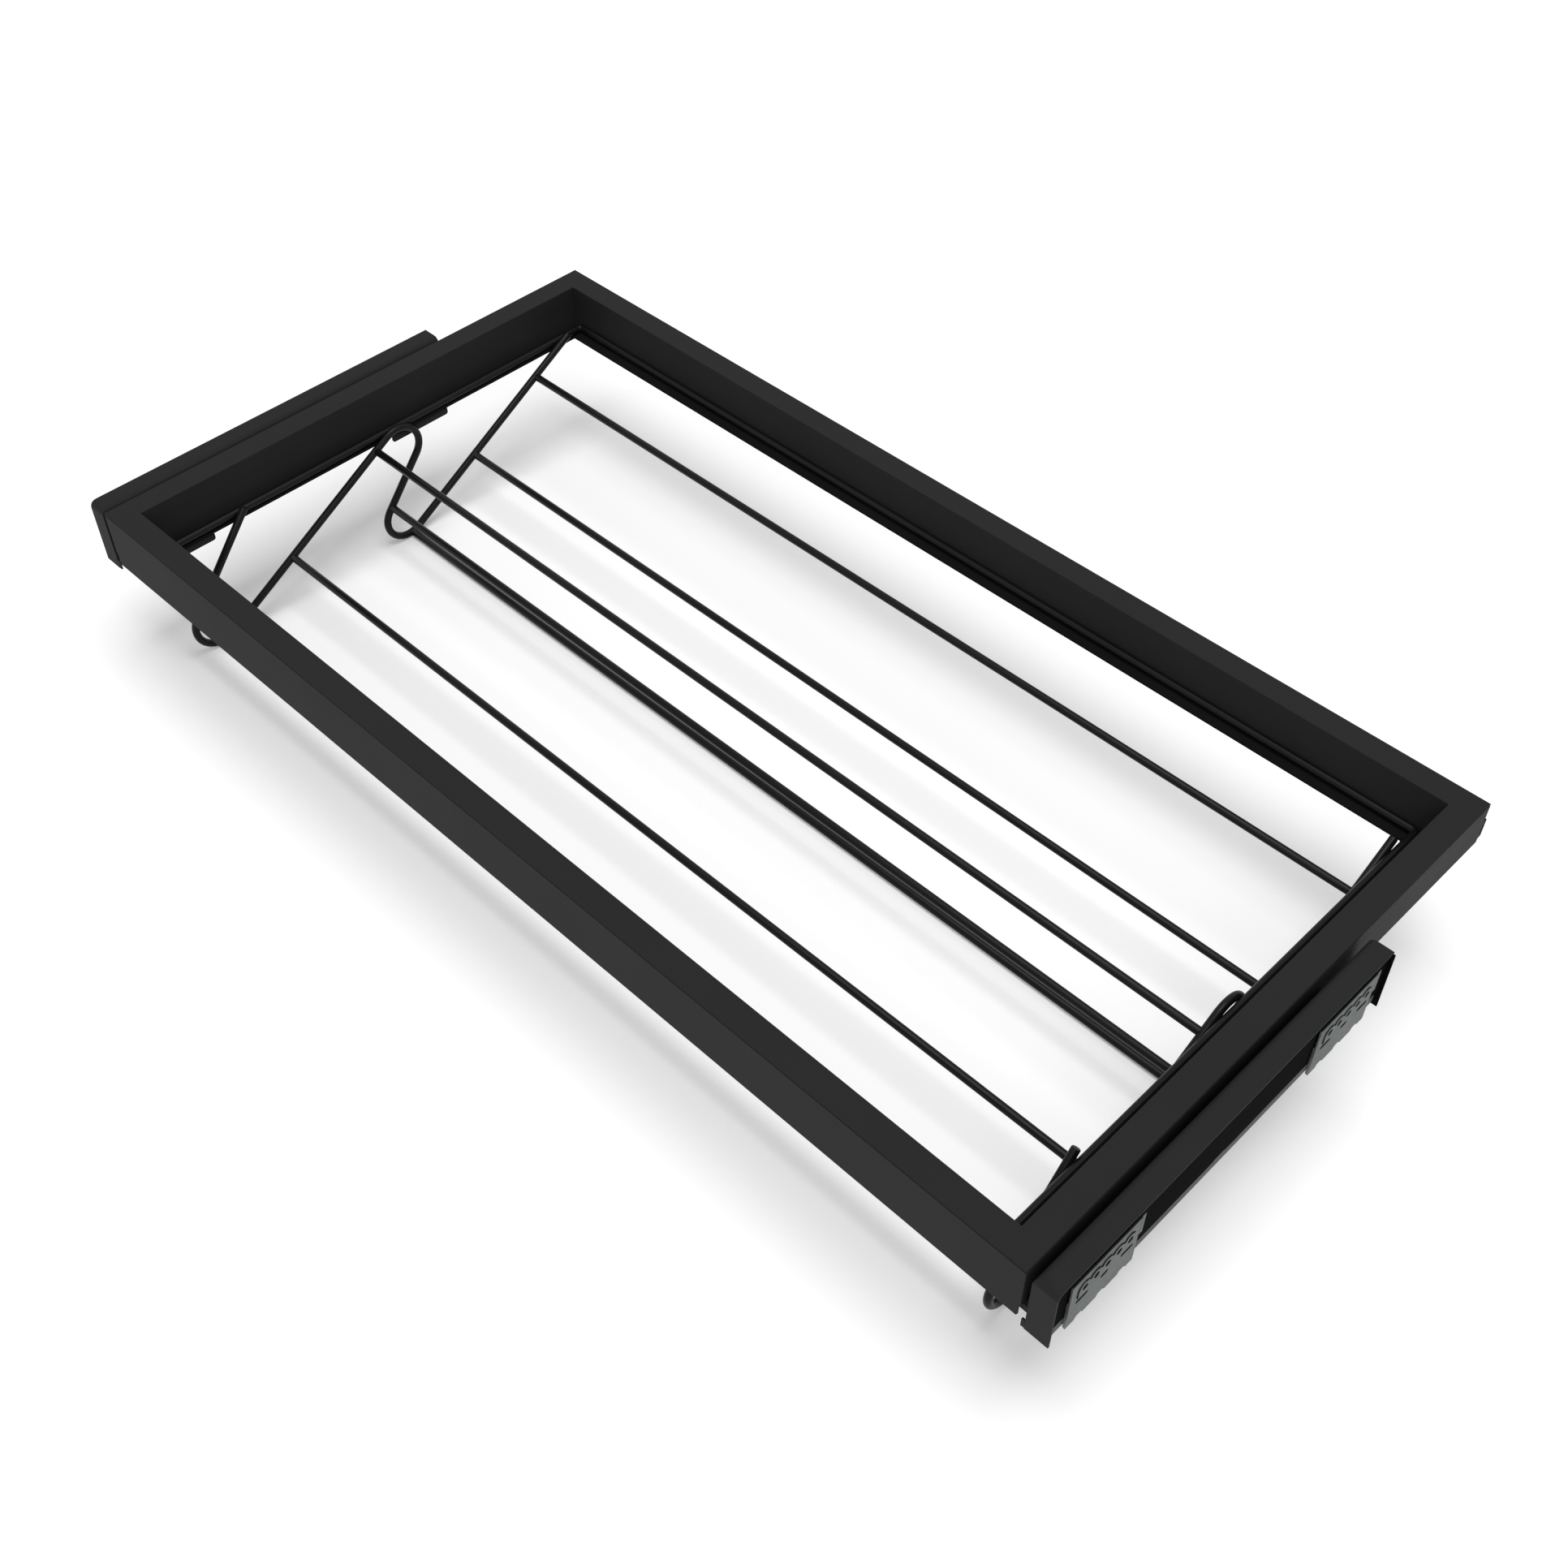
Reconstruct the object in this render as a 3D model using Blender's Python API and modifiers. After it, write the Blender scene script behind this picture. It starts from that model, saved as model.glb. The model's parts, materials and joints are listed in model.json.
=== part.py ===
"""Pull-out shoe rack for a wardrobe: a mitred frame, a hanging wire rack and two telescopic side slides.

Units are metres, +Z is up, +Y points into the wardrobe and +X to the right. The origin lies on the floor
under the middle of the rack. Slides are modelled on the right and mirrored for the left.
"""

import math

import bmesh
import bpy
from mathutils import Matrix, Vector

# Fits between neighbouring pieces
FIT = 0.0003                  # gap between pieces that touch
HOLE_PLAY = 0.0003            # radial play of a screw or rivet in its hole
FACE_INSET = 0.0002           # a folded edge's faces inside those of the sheet it grows from

# Frame rails
FRAME_WIDTH = 0.917
FRAME_DEPTH = 0.4794
RAIL_WIDTH = 0.020
RAIL_HEIGHT = 0.0388
RAIL_WALL = 0.0016
RAIL_EDGE = 0.0005            # rounding of the two top edges
LEDGE_REACH = 0.0150          # inner ledge that carries the rack
LEDGE_THICKNESS = 0.0023
GROOVE_DROP = 0.0012          # shadow groove under the outer top edge
GROOVE_WIDTH = 0.0009
GROOVE_DEPTH = 0.0007
LIP_DROP = 0.0122             # finger pull under the front rail
LIP_THICKNESS = 0.0022
LIP_SETBACK = 0.0015          # the lip stops short of the frame's sides
LIP_CORNER = 0.0015
RIB_PROUD = 0.0044            # rib along the rear face
RIB_DROP = 0.0185
RIB_HEIGHT = 0.0165
MITRE_GAP = 0.0002

# Corner keys and their countersunk screws
KEY_LEG = 0.036
KEY_CHAMFER = 0.0012
KEY_POCKET_WALL = 0.0035      # wall round the casting's pocket
KEY_FLOOR = 0.016             # floor under the pocket, where the screws bite
KEY_SCREW_AT = 0.024          # along the leg, from the key's outer corner
CSK_HEAD_R = 0.0034
CSK_HEAD_HEIGHT = 0.0018
CSK_SHANK_R = 0.0018
CSK_LENGTH = 0.013

# Wire rack
WIRE_D = 0.0060
BORDER_END_GAP = 0.0050       # border wire's centre to the front and rear rails' inner walls
BORDER_BEND = 0.0038          # centre line radius at the border's corners
END_RISE = 0.0048             # end wire's start above the border's centre line
END_START = 0.0246            # end wire's start to the rear rail's inner wall
SLOPE_DEG = 30.2
LEG_DEG = 50.2
HAIRPIN_R = 0.0199            # rear foot and upper hairpin
FRONT_HAIRPIN_R = 0.0214      # front foot
REAR_SLOPE = 0.2134
MIDDLE_LEG = 0.0557
FRONT_LEG = 0.0990
REAR_UPPER_STATION = 0.0468   # cross wires along the rear slope, from its top
REAR_LOWER_STATION = 0.1340
FRONT_UPPER_STATION = 0.0148  # cross wires along the front slope, from its top
FRONT_LOWER_STATION = 0.1265
FOOT_STATION_DEG = 21.0       # cross wire round a foot's bend, from the slope
LEG_STATION = 0.0040          # cross wire up the leg, from the foot's bend
ARC_STEP_DEG = 18.0           # facets round a hairpin

# Carrier: the folded cover that travels with the frame
SHEET = 0.0015
SIDE_GAP = 0.0045             # frame to carrier
HOOD_WIDTH = 0.0174
HOOD_DROP = 0.0012            # hood's top below the frame's top
HOOD_LENGTH = 0.3284
HOOD_BEND = 0.0055
PLATE_SETBACK = 0.0002        # front plate behind the frame's front face
PLATE_HEIGHT = 0.0570
FLANGE_REACH = 0.0165         # bottom flange under the side rail
FOLD_RELIEF = 0.0006          # slit beside a fold
HOOK_REACH = 0.0027           # hook at the front plate's foot
HOOK_HEIGHT = 0.0088
HOOK_BEAD_R = 0.0012
TAB_SETBACK = 0.0010          # support tab's lip behind the ledge's inner edge
TAB_LIP = 0.0064
TAB_BEND = 0.0016
TAB_CORNER = 0.0020
TAB_MARGIN = 0.0085           # screw to the tab's end
FRONT_TAB_GAP = 0.0010        # front tab behind the front plate
FRONT_TAB_SCREW_GAP = 0.0050  # first screw behind the corner key's end
FRONT_TAB_SCREW_PITCH = 0.0160
REAR_TAB_INSET = 0.0272       # rear tab's end to the hood's rear end
REAR_TAB_LENGTH = 0.0580
PAN_HEAD_R = 0.0036
PAN_HEAD_HEIGHT = 0.0020
PAN_SHANK_R = 0.0017
PAN_REACH = 0.0050            # shank above the rail's bottom wall
RIVET_HEAD_R = 0.0030
RIVET_HEAD_HEIGHT = 0.0009
RIVET_R = 0.0016
RIVET_FRONT_AT = 0.0400       # front rivet behind the front plate
RIVET_REAR_INSET = 0.0434     # rear rivet to the hood's rear end

# Telescopic slide, in section: depth from the cabinet side, height from the slide's centre
SLIDE_DROP = 0.0325           # slide's centre below the frame's top
SLIDE_START = 0.0027          # slide's front end behind the front plate's face
SLIDE_END_GAP = 0.0039        # slide's rear end to the hood's rear end
MIDDLE_SETBACK = 0.0030       # middle rail's ends inside the other rails' ends
BALL_R = 0.0020
BALL_PLAY = 0.0002
BALL_DEPTH = 0.0070           # ball centre from the cabinet side
BALL_COUNT = 3                # balls in one row of a cage
BALL_PITCH = 0.0600
RAIL_SHEET = 0.0012           # fixed and inner rail
MIDDLE_SHEET = 0.0010
CAGE_SHEET = 0.0005
CAGE_END = 0.0140             # cage beyond its last ball
WEB_GAP = 0.0004              # between the nested webs
RACE_DEG = 24.0               # where a raceway's arc leaves the flange
RACE_END_DEG = 55.0           # inner rail's raceway stops this far below the level
RACE_STEPS = 5
FLANGE_LIP = 0.00154          # flange beyond its raceway
WEB_BEND = 0.0016

# Backing plate with its rear end plate
BACK_SHEET = 0.0010
BACK_TOP = 0.0060             # below the frame's top
BACK_BOTTOM = 0.0430
END_PLATE = 0.0012
END_PLATE_BOTTOM = 0.0550
END_PLATE_INSET = 0.0010      # end plate's inner edge from the inner rail's face
END_PLATE_OVERHANG = 0.0015   # beyond the hood's outer edge
BACK_SLOT_AT = 0.1535         # slot in the lower edge, behind the front plate
BACK_SLOT_LENGTH = 0.0120
BACK_SLOT_HEIGHT = 0.0016

# Stamped wall brackets
BRACKET_SHEET = 0.0012
BRACKET_DEPTH = 0.0029        # backing plate to the outermost face
BRACKET_RAISE = 0.0008        # scalloped strip stands proud
BRACKET_LENGTH = 0.0610
BRACKET_TOP = 0.0070          # below the frame's top
BRACKET_BOTTOM = 0.0526
BRACKET_STEP = 0.0250         # lower edge of the scalloped strip
BRACKET_FRONT_AT = 0.0130     # front bracket behind the front plate
BRACKET_REAR_INSET = 0.0171   # rear bracket's end to the hood's rear end
SCREW_HOLE_R = 0.0025
SCREW_HOLE_PITCH = 0.01005
SCREW_HOLE_COUNT = 5
SCREW_HOLE_START = 0.0112
SCREW_HOLE_DROP = 0.0177
SCALLOP_R = 0.0054
SLOT_DROP = 0.0302
SLOT_LONG = 0.0112
SLOT_SHORT = 0.0070
SLOT_R = 0.0016
NOTCH_AT = (0.0080, 0.0275, 0.0470)
NOTCH_LENGTH = 0.0075
NOTCH_DEPTH = 0.0024
NOTCH_SLANT = 0.0015
LANCE_GAP = 0.0007            # slit between the bracket and its locking leaf
LANCE_WIDTH = 0.0032
LANCE_TOP = 0.0060            # below the frame's top
LANCE_HEIGHT = 0.0200
LANCE_FOOT = 0.0024

# Places worked out from the sizes above
WIRE_R = WIRE_D / 2
SLOPE = math.radians(SLOPE_DEG)
LEG = math.radians(LEG_DEG)
Y_FRONT = -(FRAME_DEPTH + RIB_PROUD) / 2
Y_REAR = Y_FRONT + FRAME_DEPTH
Y_MIDDLE = (Y_FRONT + Y_REAR) / 2
X_SIDE = FRAME_WIDTH / 2
HAIRPIN_LOW = WIRE_R                                   # centre line's lowest point over the floor
SLOPE_FOOT_Z = HAIRPIN_LOW + HAIRPIN_R * (1 - math.cos(SLOPE))
END_START_Z = SLOPE_FOOT_Z + REAR_SLOPE * math.sin(SLOPE)
BORDER_Z = END_START_Z - END_RISE
RAIL_BOTTOM_Z = BORDER_Z - WIRE_R - FIT - LEDGE_THICKNESS
Z_TOP = RAIL_BOTTOM_Z + RAIL_HEIGHT
LEDGE_X = X_SIDE - RAIL_WIDTH - LEDGE_REACH            # ledge's inner edge
END_WIRE_X = LEDGE_X - WIRE_R - FIT
BORDER_X = END_WIRE_X + WIRE_D + FIT
CARRIER_X = X_SIDE + SIDE_GAP
PLATE_Y = Y_FRONT + PLATE_SETBACK
HOOD_END_Y = PLATE_Y + HOOD_LENGTH
HOOD_Z = Z_TOP - HOOD_DROP
FLANGE_Z = RAIL_BOTTOM_Z - FIT - SHEET / 2             # middle of the carrier's bottom flange
TAB_INNER_X = LEDGE_X + TAB_SETBACK                    # tabs' inner edge
SLIDE_X = CARRIER_X + SHEET + FIT                      # inner rail's face
SLIDE_Z = Z_TOP - SLIDE_DROP
SLIDE_Y = PLATE_Y + SLIDE_START
SLIDE_END_Y = HOOD_END_Y - SLIDE_END_GAP
KEY_WIDTH = RAIL_WIDTH - 2 * RAIL_WALL - 2 * FIT
KEY_END_Y = Y_FRONT + RAIL_WALL + FIT + KEY_LEG
REAR_TAB_END_Y = HOOD_END_Y - REAR_TAB_INSET

# The slide's section, worked out from the cabinet side inwards and from the inner rail outwards
RACE_R = BALL_R + BALL_PLAY + RAIL_SHEET / 2           # raceway's middle line round a ball
RACE = math.radians(RACE_DEG)
CAGE_WEB_OUTER = RAIL_SHEET + WEB_GAP + CAGE_SHEET / 2
MIDDLE_WEB = RAIL_SHEET + 2 * WEB_GAP + CAGE_SHEET + MIDDLE_SHEET / 2
CAGE_WEB_INNER = MIDDLE_WEB + MIDDLE_SHEET / 2 + WEB_GAP + CAGE_SHEET / 2
FLANGE_TIP = BALL_DEPTH + RACE_R * math.cos(RACE) + FLANGE_LIP
SLIDE_THICKNESS = FLANGE_TIP + WEB_GAP + RAIL_SHEET
INNER_WEB = SLIDE_THICKNESS - RAIL_SHEET / 2
INNER_FLANGE = 0.0129                                  # inner rail's flange, middle line over the centre
INNER_BALL = INNER_FLANGE + RACE_R * math.sin(RACE)
MIDDLE_FLANGE = INNER_BALL + BALL_R + BALL_PLAY + MIDDLE_SHEET / 2
OUTER_BALL = MIDDLE_FLANGE + MIDDLE_SHEET / 2 + BALL_PLAY + BALL_R
FIXED_FLANGE = OUTER_BALL + RACE_R * math.sin(RACE)
FIXED_X = SLIDE_X + SLIDE_THICKNESS                    # fixed rail's cabinet face
BACK_X = FIXED_X + FIT
BRACKET_X = BACK_X + BACK_SHEET + FIT + BRACKET_DEPTH  # outermost face
SLIDE_MIDDLE_Y = (SLIDE_Y + SLIDE_END_Y) / 2

FINISHES = {
    "black_coat": ((0.015, 0.015, 0.0155, 1.0), 0.45, 0.0),
    "black_wire": ((0.013, 0.013, 0.0135, 1.0), 0.40, 0.0),
    "dull_black": ((0.010, 0.010, 0.0105, 1.0), 0.80, 0.0),
    "cast_grey": ((0.33, 0.33, 0.34, 1.0), 0.55, 0.8),
    "zinc": ((0.36, 0.38, 0.37, 1.0), 0.38, 0.9),
    "steel": ((0.55, 0.55, 0.56, 1.0), 0.25, 1.0),
}


def clear_scene():
    for item in list(bpy.data.objects):
        bpy.data.objects.remove(item, do_unlink=True)


def new_collection(name):
    collection = bpy.data.collections.new(name)
    bpy.context.scene.collection.children.link(collection)
    return collection


def new_empty(name, location):
    empty = bpy.data.objects.new(name, None)
    empty.location = location
    PARTS.objects.link(empty)
    return empty


def finish(item, kind):
    """Gives a piece a material of its own in one of the object's finishes."""
    colour, roughness, metallic = FINISHES[kind]
    material = bpy.data.materials.new(f"{item.name}_{kind}")
    material.use_nodes = True
    shader = material.node_tree.nodes["Principled BSDF"]
    shader.inputs["Base Color"].default_value = colour
    shader.inputs["Roughness"].default_value = roughness
    shader.inputs["Metallic"].default_value = metallic
    item.data.materials.append(material)


def add_part(name, data, body, kind, location=(0, 0, 0), turn=0.0):
    """Puts a mesh or curve in the object's collection, carried by the empty of its body."""
    part = bpy.data.objects.new(name, data)
    part.location = location
    part.rotation_euler = (0, 0, turn)
    part.parent = body
    part.matrix_parent_inverse = Matrix.Translation(-Vector(body.location))
    PARTS.objects.link(part)
    finish(part, kind)
    return part


def boolean(part, mesh, operation):
    """Cuts or joins a part with a guide body that isn't part of the object itself."""
    guide = bpy.data.objects.new(f"{part.name}_{operation.lower()}", mesh)
    guide.location = part.location
    guide.rotation_euler = part.rotation_euler
    guide.hide_render = True
    guide.display_type = "WIRE"
    CUTTERS.objects.link(guide)
    modifier = part.modifiers.new(guide.name, "BOOLEAN")
    modifier.operation = operation
    modifier.object = guide
    modifier.solver = "EXACT"


def mesh_from(bm, name="shape"):
    mesh = bpy.data.meshes.new(name)
    bm.to_mesh(mesh)
    bm.free()
    return mesh


def transformed(mesh, matrix):
    """A copy of a mesh moved by a matrix, its faces still pointing out if the matrix mirrors."""
    bm = bmesh.new()
    bm.from_mesh(mesh)
    bmesh.ops.transform(bm, matrix=matrix, verts=bm.verts)
    if matrix.determinant() < 0:
        bmesh.ops.reverse_faces(bm, faces=bm.faces)
    return mesh_from(bm)


def sided(mesh, side):
    """The right-hand mesh itself, or its mirror image for the left."""
    if side > 0:
        return mesh
    return transformed(mesh, Matrix.Diagonal((-1, 1, 1, 1)))


def gathered(meshes):
    """Several separate bodies in one mesh."""
    bm = bmesh.new()
    for mesh in meshes:
        bm.from_mesh(mesh)
    return mesh_from(bm)


def box(low, high):
    low = Vector(low)
    high = Vector(high)
    bm = bmesh.new()
    bmesh.ops.create_cube(bm, size=1.0)
    bmesh.ops.scale(bm, vec=high - low, verts=bm.verts)
    bmesh.ops.translate(bm, vec=(low + high) / 2, verts=bm.verts)
    return mesh_from(bm)


def prism(loops, thickness, matrix):
    """A flat outline given thickness: the first loop is its edge, the others are holes."""
    curve = bpy.data.curves.new("outline", "CURVE")
    curve.dimensions = "2D"
    curve.fill_mode = "BOTH"
    curve.extrude = thickness / 2
    for loop in loops:
        spline = curve.splines.new("POLY")
        spline.points.add(len(loop) - 1)
        for point, (across, up) in zip(spline.points, loop):
            point.co = (across, up, 0, 1)
        spline.use_cyclic_u = True
    item = bpy.data.objects.new("outline", curve)
    CUTTERS.objects.link(item)
    evaluated = item.evaluated_get(bpy.context.evaluated_depsgraph_get())
    mesh = bpy.data.meshes.new_from_object(evaluated)
    bpy.data.objects.remove(item)
    bm = bmesh.new()
    bm.from_mesh(mesh)
    bmesh.ops.remove_doubles(bm, verts=bm.verts, dist=0.000001)
    bmesh.ops.dissolve_limit(bm, angle_limit=0.001, verts=bm.verts, edges=bm.edges)
    bmesh.ops.transform(bm, matrix=matrix, verts=bm.verts)
    bmesh.ops.recalc_face_normals(bm, faces=bm.faces)
    return mesh_from(bm)


def axes(across, up, through, at=(0, 0, 0)):
    """Matrix that lays an outline's two directions and its thickness along three given directions."""
    columns = (Vector(across), Vector(up), Vector(through))
    matrix = Matrix.Identity(4)
    for column, direction in enumerate(columns):
        for row in range(3):
            matrix[row][column] = direction[row]
    return Matrix.Translation(at) @ matrix


def along_x(at=0.0):
    """Outlines in (y, z), given thickness along X about a place."""
    return axes((0, 1, 0), (0, 0, 1), (1, 0, 0), (at, 0, 0))


def along_y(at=0.0):
    """Outlines in (x, z), given thickness along Y about a place."""
    return axes((1, 0, 0), (0, 0, 1), (0, -1, 0), (0, at, 0))


def along_z(at=0.0):
    """Outlines in (x, y), given thickness along Z about a place."""
    return axes((1, 0, 0), (0, 1, 0), (0, 0, 1), (0, 0, at))


def arc(centre, radius, start_deg, end_deg, steps):
    points = []
    for step in range(steps + 1):
        angle = math.radians(start_deg + (end_deg - start_deg) * step / steps)
        points.append((centre[0] + radius * math.cos(angle), centre[1] + radius * math.sin(angle)))
    return points


def circle(centre, radius, sides):
    return arc(centre, radius, 0, 360, sides)[:-1]


def slot(centre, length, radius):
    """Outline of a slot with round ends."""
    half = length / 2 - radius
    right = arc((centre[0] + half, centre[1]), radius, -90, 90, 4)
    left = arc((centre[0] - half, centre[1]), radius, 90, 270, 4)
    return right + left


def rectangle(left, bottom, right, top):
    return [(left, bottom), (right, bottom), (right, top), (left, top)]


def rounded(corners, steps=3):
    """Outline through corners given as (x, y, radius), each round one drawn as an arc."""
    outline = []
    count = len(corners)
    for index, (x, y, radius) in enumerate(corners):
        here = Vector((x, y))
        if radius <= 0:
            outline.append((x, y))
            continue
        before = (Vector(corners[index - 1][:2]) - here).normalized()
        after = (Vector(corners[(index + 1) % count][:2]) - here).normalized()
        half = before.angle(after) / 2
        centre = here + (before + after).normalized() * (radius / math.sin(half))
        first = here + before * (radius / math.tan(half)) - centre
        last = here + after * (radius / math.tan(half)) - centre
        sweep = first.angle_signed(last)
        for step in range(steps + 1):
            turned_by = first.copy()
            turned_by.rotate(Matrix.Rotation(-sweep * step / steps, 2))
            outline.append(tuple(centre + turned_by))
    return outline


def sheet_outline(path, thickness):
    """Outline of a bent sheet whose middle line is an open path."""
    points = [Vector(point) for point in path]
    sides = ([], [])
    for index, point in enumerate(points):
        into = points[index] - points[index - 1] if index else points[1] - points[0]
        out = points[index + 1] - points[index] if index + 1 < len(points) else into
        normal_in = Vector((-into.y, into.x)).normalized()
        normal_out = Vector((-out.y, out.x)).normalized()
        mitre = (normal_in + normal_out).normalized()
        reach = thickness / 2 / mitre.dot(normal_in)
        sides[0].append(tuple(point + mitre * reach))
        sides[1].append(tuple(point - mitre * reach))
    return sides[0] + sides[1][::-1]


def turned(profile, steps=10):
    """A turned body about Z from a profile of (radius, height) that runs from the axis to the axis."""
    bm = bmesh.new()
    points = [bm.verts.new((radius, 0, height)) for radius, height in profile]
    edges = [bm.edges.new(pair) for pair in zip(points, points[1:])]
    bmesh.ops.spin(
        bm, geom=points + edges, cent=(0, 0, 0), axis=(0, 0, 1), angle=2 * math.pi, steps=steps,
        use_merge=True, use_duplicate=False,
    )
    bmesh.ops.remove_doubles(bm, verts=bm.verts, dist=0.000001)
    bmesh.ops.recalc_face_normals(bm, faces=bm.faces)
    return mesh_from(bm)


def copies(mesh, places):
    """One mesh with a copy of a body at each place."""
    return gathered([transformed(mesh, Matrix.Translation(place)) for place in places])


def wire(name, points, body, cyclic=False):
    """A round wire through points, as a curve with closed ends."""
    curve = bpy.data.curves.new(name, "CURVE")
    curve.dimensions = "3D"
    curve.bevel_depth = WIRE_R
    curve.bevel_resolution = 4
    curve.use_fill_caps = True
    spline = curve.splines.new("POLY")
    spline.points.add(len(points) - 1)
    for point, place in zip(spline.points, points):
        point.co = (*place, 1)
    spline.use_cyclic_u = cyclic
    spline.use_smooth = True
    return add_part(name, curve, body, "black_wire")


# Frame


def rail_outline(rib=False, lip=False):
    """Section of a rail: distance in from its outer face, and height from the frame's top."""
    inner = RAIL_WIDTH + LEDGE_REACH
    ledge_top = -RAIL_HEIGHT + LEDGE_THICKNESS
    groove = -GROOVE_DROP
    outline = [(RAIL_WIDTH, ledge_top, 0), (RAIL_WIDTH, 0, RAIL_EDGE), (0, 0, RAIL_EDGE)]
    outline += [
        (0, groove, 0),
        (GROOVE_DEPTH, groove, 0),
        (GROOVE_DEPTH, groove - GROOVE_WIDTH, 0),
        (0, groove - GROOVE_WIDTH, 0),
    ]
    if rib:
        outline += [
            (0, -RIB_DROP, 0),
            (-RIB_PROUD, -RIB_DROP, RAIL_EDGE),
            (-RIB_PROUD, -RIB_DROP - RIB_HEIGHT, RAIL_EDGE),
            (0, -RIB_DROP - RIB_HEIGHT, 0),
        ]
    if lip:
        bottom = -RAIL_HEIGHT - LIP_DROP
        outline += [(0, bottom, RAIL_EDGE), (LIP_THICKNESS, bottom, RAIL_EDGE), (LIP_THICKNESS, -RAIL_HEIGHT, 0)]
    else:
        outline += [(0, -RAIL_HEIGHT, 0)]
    outline += [(inner, -RAIL_HEIGHT, 0), (inner, ledge_top, 0)]
    cavity = rectangle(RAIL_WALL, ledge_top, RAIL_WIDTH - RAIL_WALL, -RAIL_WALL)
    return [rounded(outline, steps=2), cavity]


def rail_mesh(length, **section):
    """A rail along X with its outer face at y = 0, both ends mitred: each point steps in by its depth."""
    mesh = prism(rail_outline(**section), length, along_x())
    for vertex in mesh.vertices:
        depth = max(vertex.co.y, 0.0)
        reach = length / 2 - MITRE_GAP - depth
        vertex.co.x = math.copysign(reach, vertex.co.x)
    return mesh


def countersunk_cutter():
    """Hole for a countersunk screw, its mouth at the rail's bottom face."""
    head = CSK_HEAD_R + HOLE_PLAY
    shank = CSK_SHANK_R + HOLE_PLAY
    profile = [(0, CSK_LENGTH), (shank, CSK_LENGTH), (shank, CSK_HEAD_HEIGHT + HOLE_PLAY)]
    profile += [(head, HOLE_PLAY), (head, -LEDGE_THICKNESS), (0, -LEDGE_THICKNESS)]
    return turned(profile)


def countersunk_screw():
    profile = [(0, CSK_LENGTH - FIT), (CSK_SHANK_R * 0.6, CSK_LENGTH - FIT), (CSK_SHANK_R, CSK_LENGTH - CSK_SHANK_R)]
    profile += [(CSK_SHANK_R, FIT + CSK_HEAD_HEIGHT), (CSK_HEAD_R, FIT), (0, FIT)]
    return turned(profile)


def key_screw_places():
    """Screws of all four keys, at the rails' bottom face."""
    across = RAIL_WIDTH / 2
    along = RAIL_WALL + FIT + KEY_SCREW_AT
    places = []
    for x_sign in (-1, 1):
        for y_edge, y_in in ((Y_FRONT, 1), (Y_REAR, -1)):
            places.append((x_sign * (X_SIDE - along), y_edge + y_in * across, RAIL_BOTTOM_Z))
            places.append((x_sign * (X_SIDE - across), y_edge + y_in * along, RAIL_BOTTOM_Z))
    return places


def tray_screw_places():
    """Right-hand screws through the support tabs into the side rail, at the rail's bottom face."""
    x = X_SIDE - RAIL_WIDTH / 2
    first = KEY_END_Y + FRONT_TAB_SCREW_GAP
    rear_start = REAR_TAB_END_Y - REAR_TAB_LENGTH
    along = [first, first + FRONT_TAB_SCREW_PITCH, rear_start + TAB_MARGIN, REAR_TAB_END_Y - TAB_MARGIN]
    return [(x, y, RAIL_BOTTOM_Z) for y in along]


def mirrored_places(places, side):
    return [(side * x, y, z) for x, y, z in places]


def rail_cutter(inside, extra_places=()):
    """All screw holes of one rail, in the world, later moved into the rail's own frame."""
    csk = countersunk_cutter()
    holes = [transformed(csk, Matrix.Translation(place)) for place in key_screw_places() if inside(place)]
    tapped = turned([(0, PAN_REACH), (PAN_SHANK_R + HOLE_PLAY, PAN_REACH),
                     (PAN_SHANK_R + HOLE_PLAY, -LEDGE_THICKNESS), (0, -LEDGE_THICKNESS)])
    holes += [transformed(tapped, Matrix.Translation(place)) for place in extra_places]
    return gathered(holes)


def lip_end_cutter():
    """Trims the finger pull's ends: a step in from the frame's side, then a round lower corner."""
    reach = X_SIDE - LIP_SETBACK
    bottom = -RAIL_HEIGHT - LIP_DROP
    below = bottom - LIP_DROP
    outside = X_SIDE + LIP_DROP
    curve = arc((reach - LIP_CORNER, bottom + LIP_CORNER), LIP_CORNER, 0, -90, 4)
    outline = [(outside, -RAIL_HEIGHT), (reach, -RAIL_HEIGHT)] + curve
    outline += [(reach - LIP_CORNER, below), (outside, below)]
    right = prism([outline], 2 * LIP_DROP, along_y())
    return gathered([right, transformed(right, Matrix.Diagonal((-1, 1, 1, 1)))])


def build_frame(body):
    places = {
        "front_rail": ((0, Y_FRONT, Z_TOP), 0.0, FRAME_WIDTH, {"lip": True}),
        "right_rail": ((X_SIDE, Y_MIDDLE, Z_TOP), math.pi / 2, FRAME_DEPTH, {}),
        "rear_rail": ((0, Y_REAR, Z_TOP), math.pi, FRAME_WIDTH, {"rib": True}),
        "left_rail": ((-X_SIDE, Y_MIDDLE, Z_TOP), -math.pi / 2, FRAME_DEPTH, {}),
    }
    screws = tray_screw_places()
    holes = {
        "front_rail": (lambda p: p[1] < Y_FRONT + RAIL_WIDTH * 0.75, ()),
        "right_rail": (lambda p: p[0] > X_SIDE - RAIL_WIDTH * 0.75, screws),
        "rear_rail": (lambda p: p[1] > Y_REAR - RAIL_WIDTH * 0.75, ()),
        "left_rail": (lambda p: p[0] < -X_SIDE + RAIL_WIDTH * 0.75, mirrored_places(screws, -1)),
    }
    for name, (location, turn, length, section) in places.items():
        rail = add_part(name, rail_mesh(length, **section), body, "black_coat", location, turn)
        to_rail = (Matrix.Translation(location) @ Matrix.Rotation(turn, 4, "Z")).inverted()
        boolean(rail, transformed(rail_cutter(*holes[name]), to_rail), "DIFFERENCE")
        if name == "front_rail":
            boolean(rail, lip_end_cutter(), "DIFFERENCE")


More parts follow.
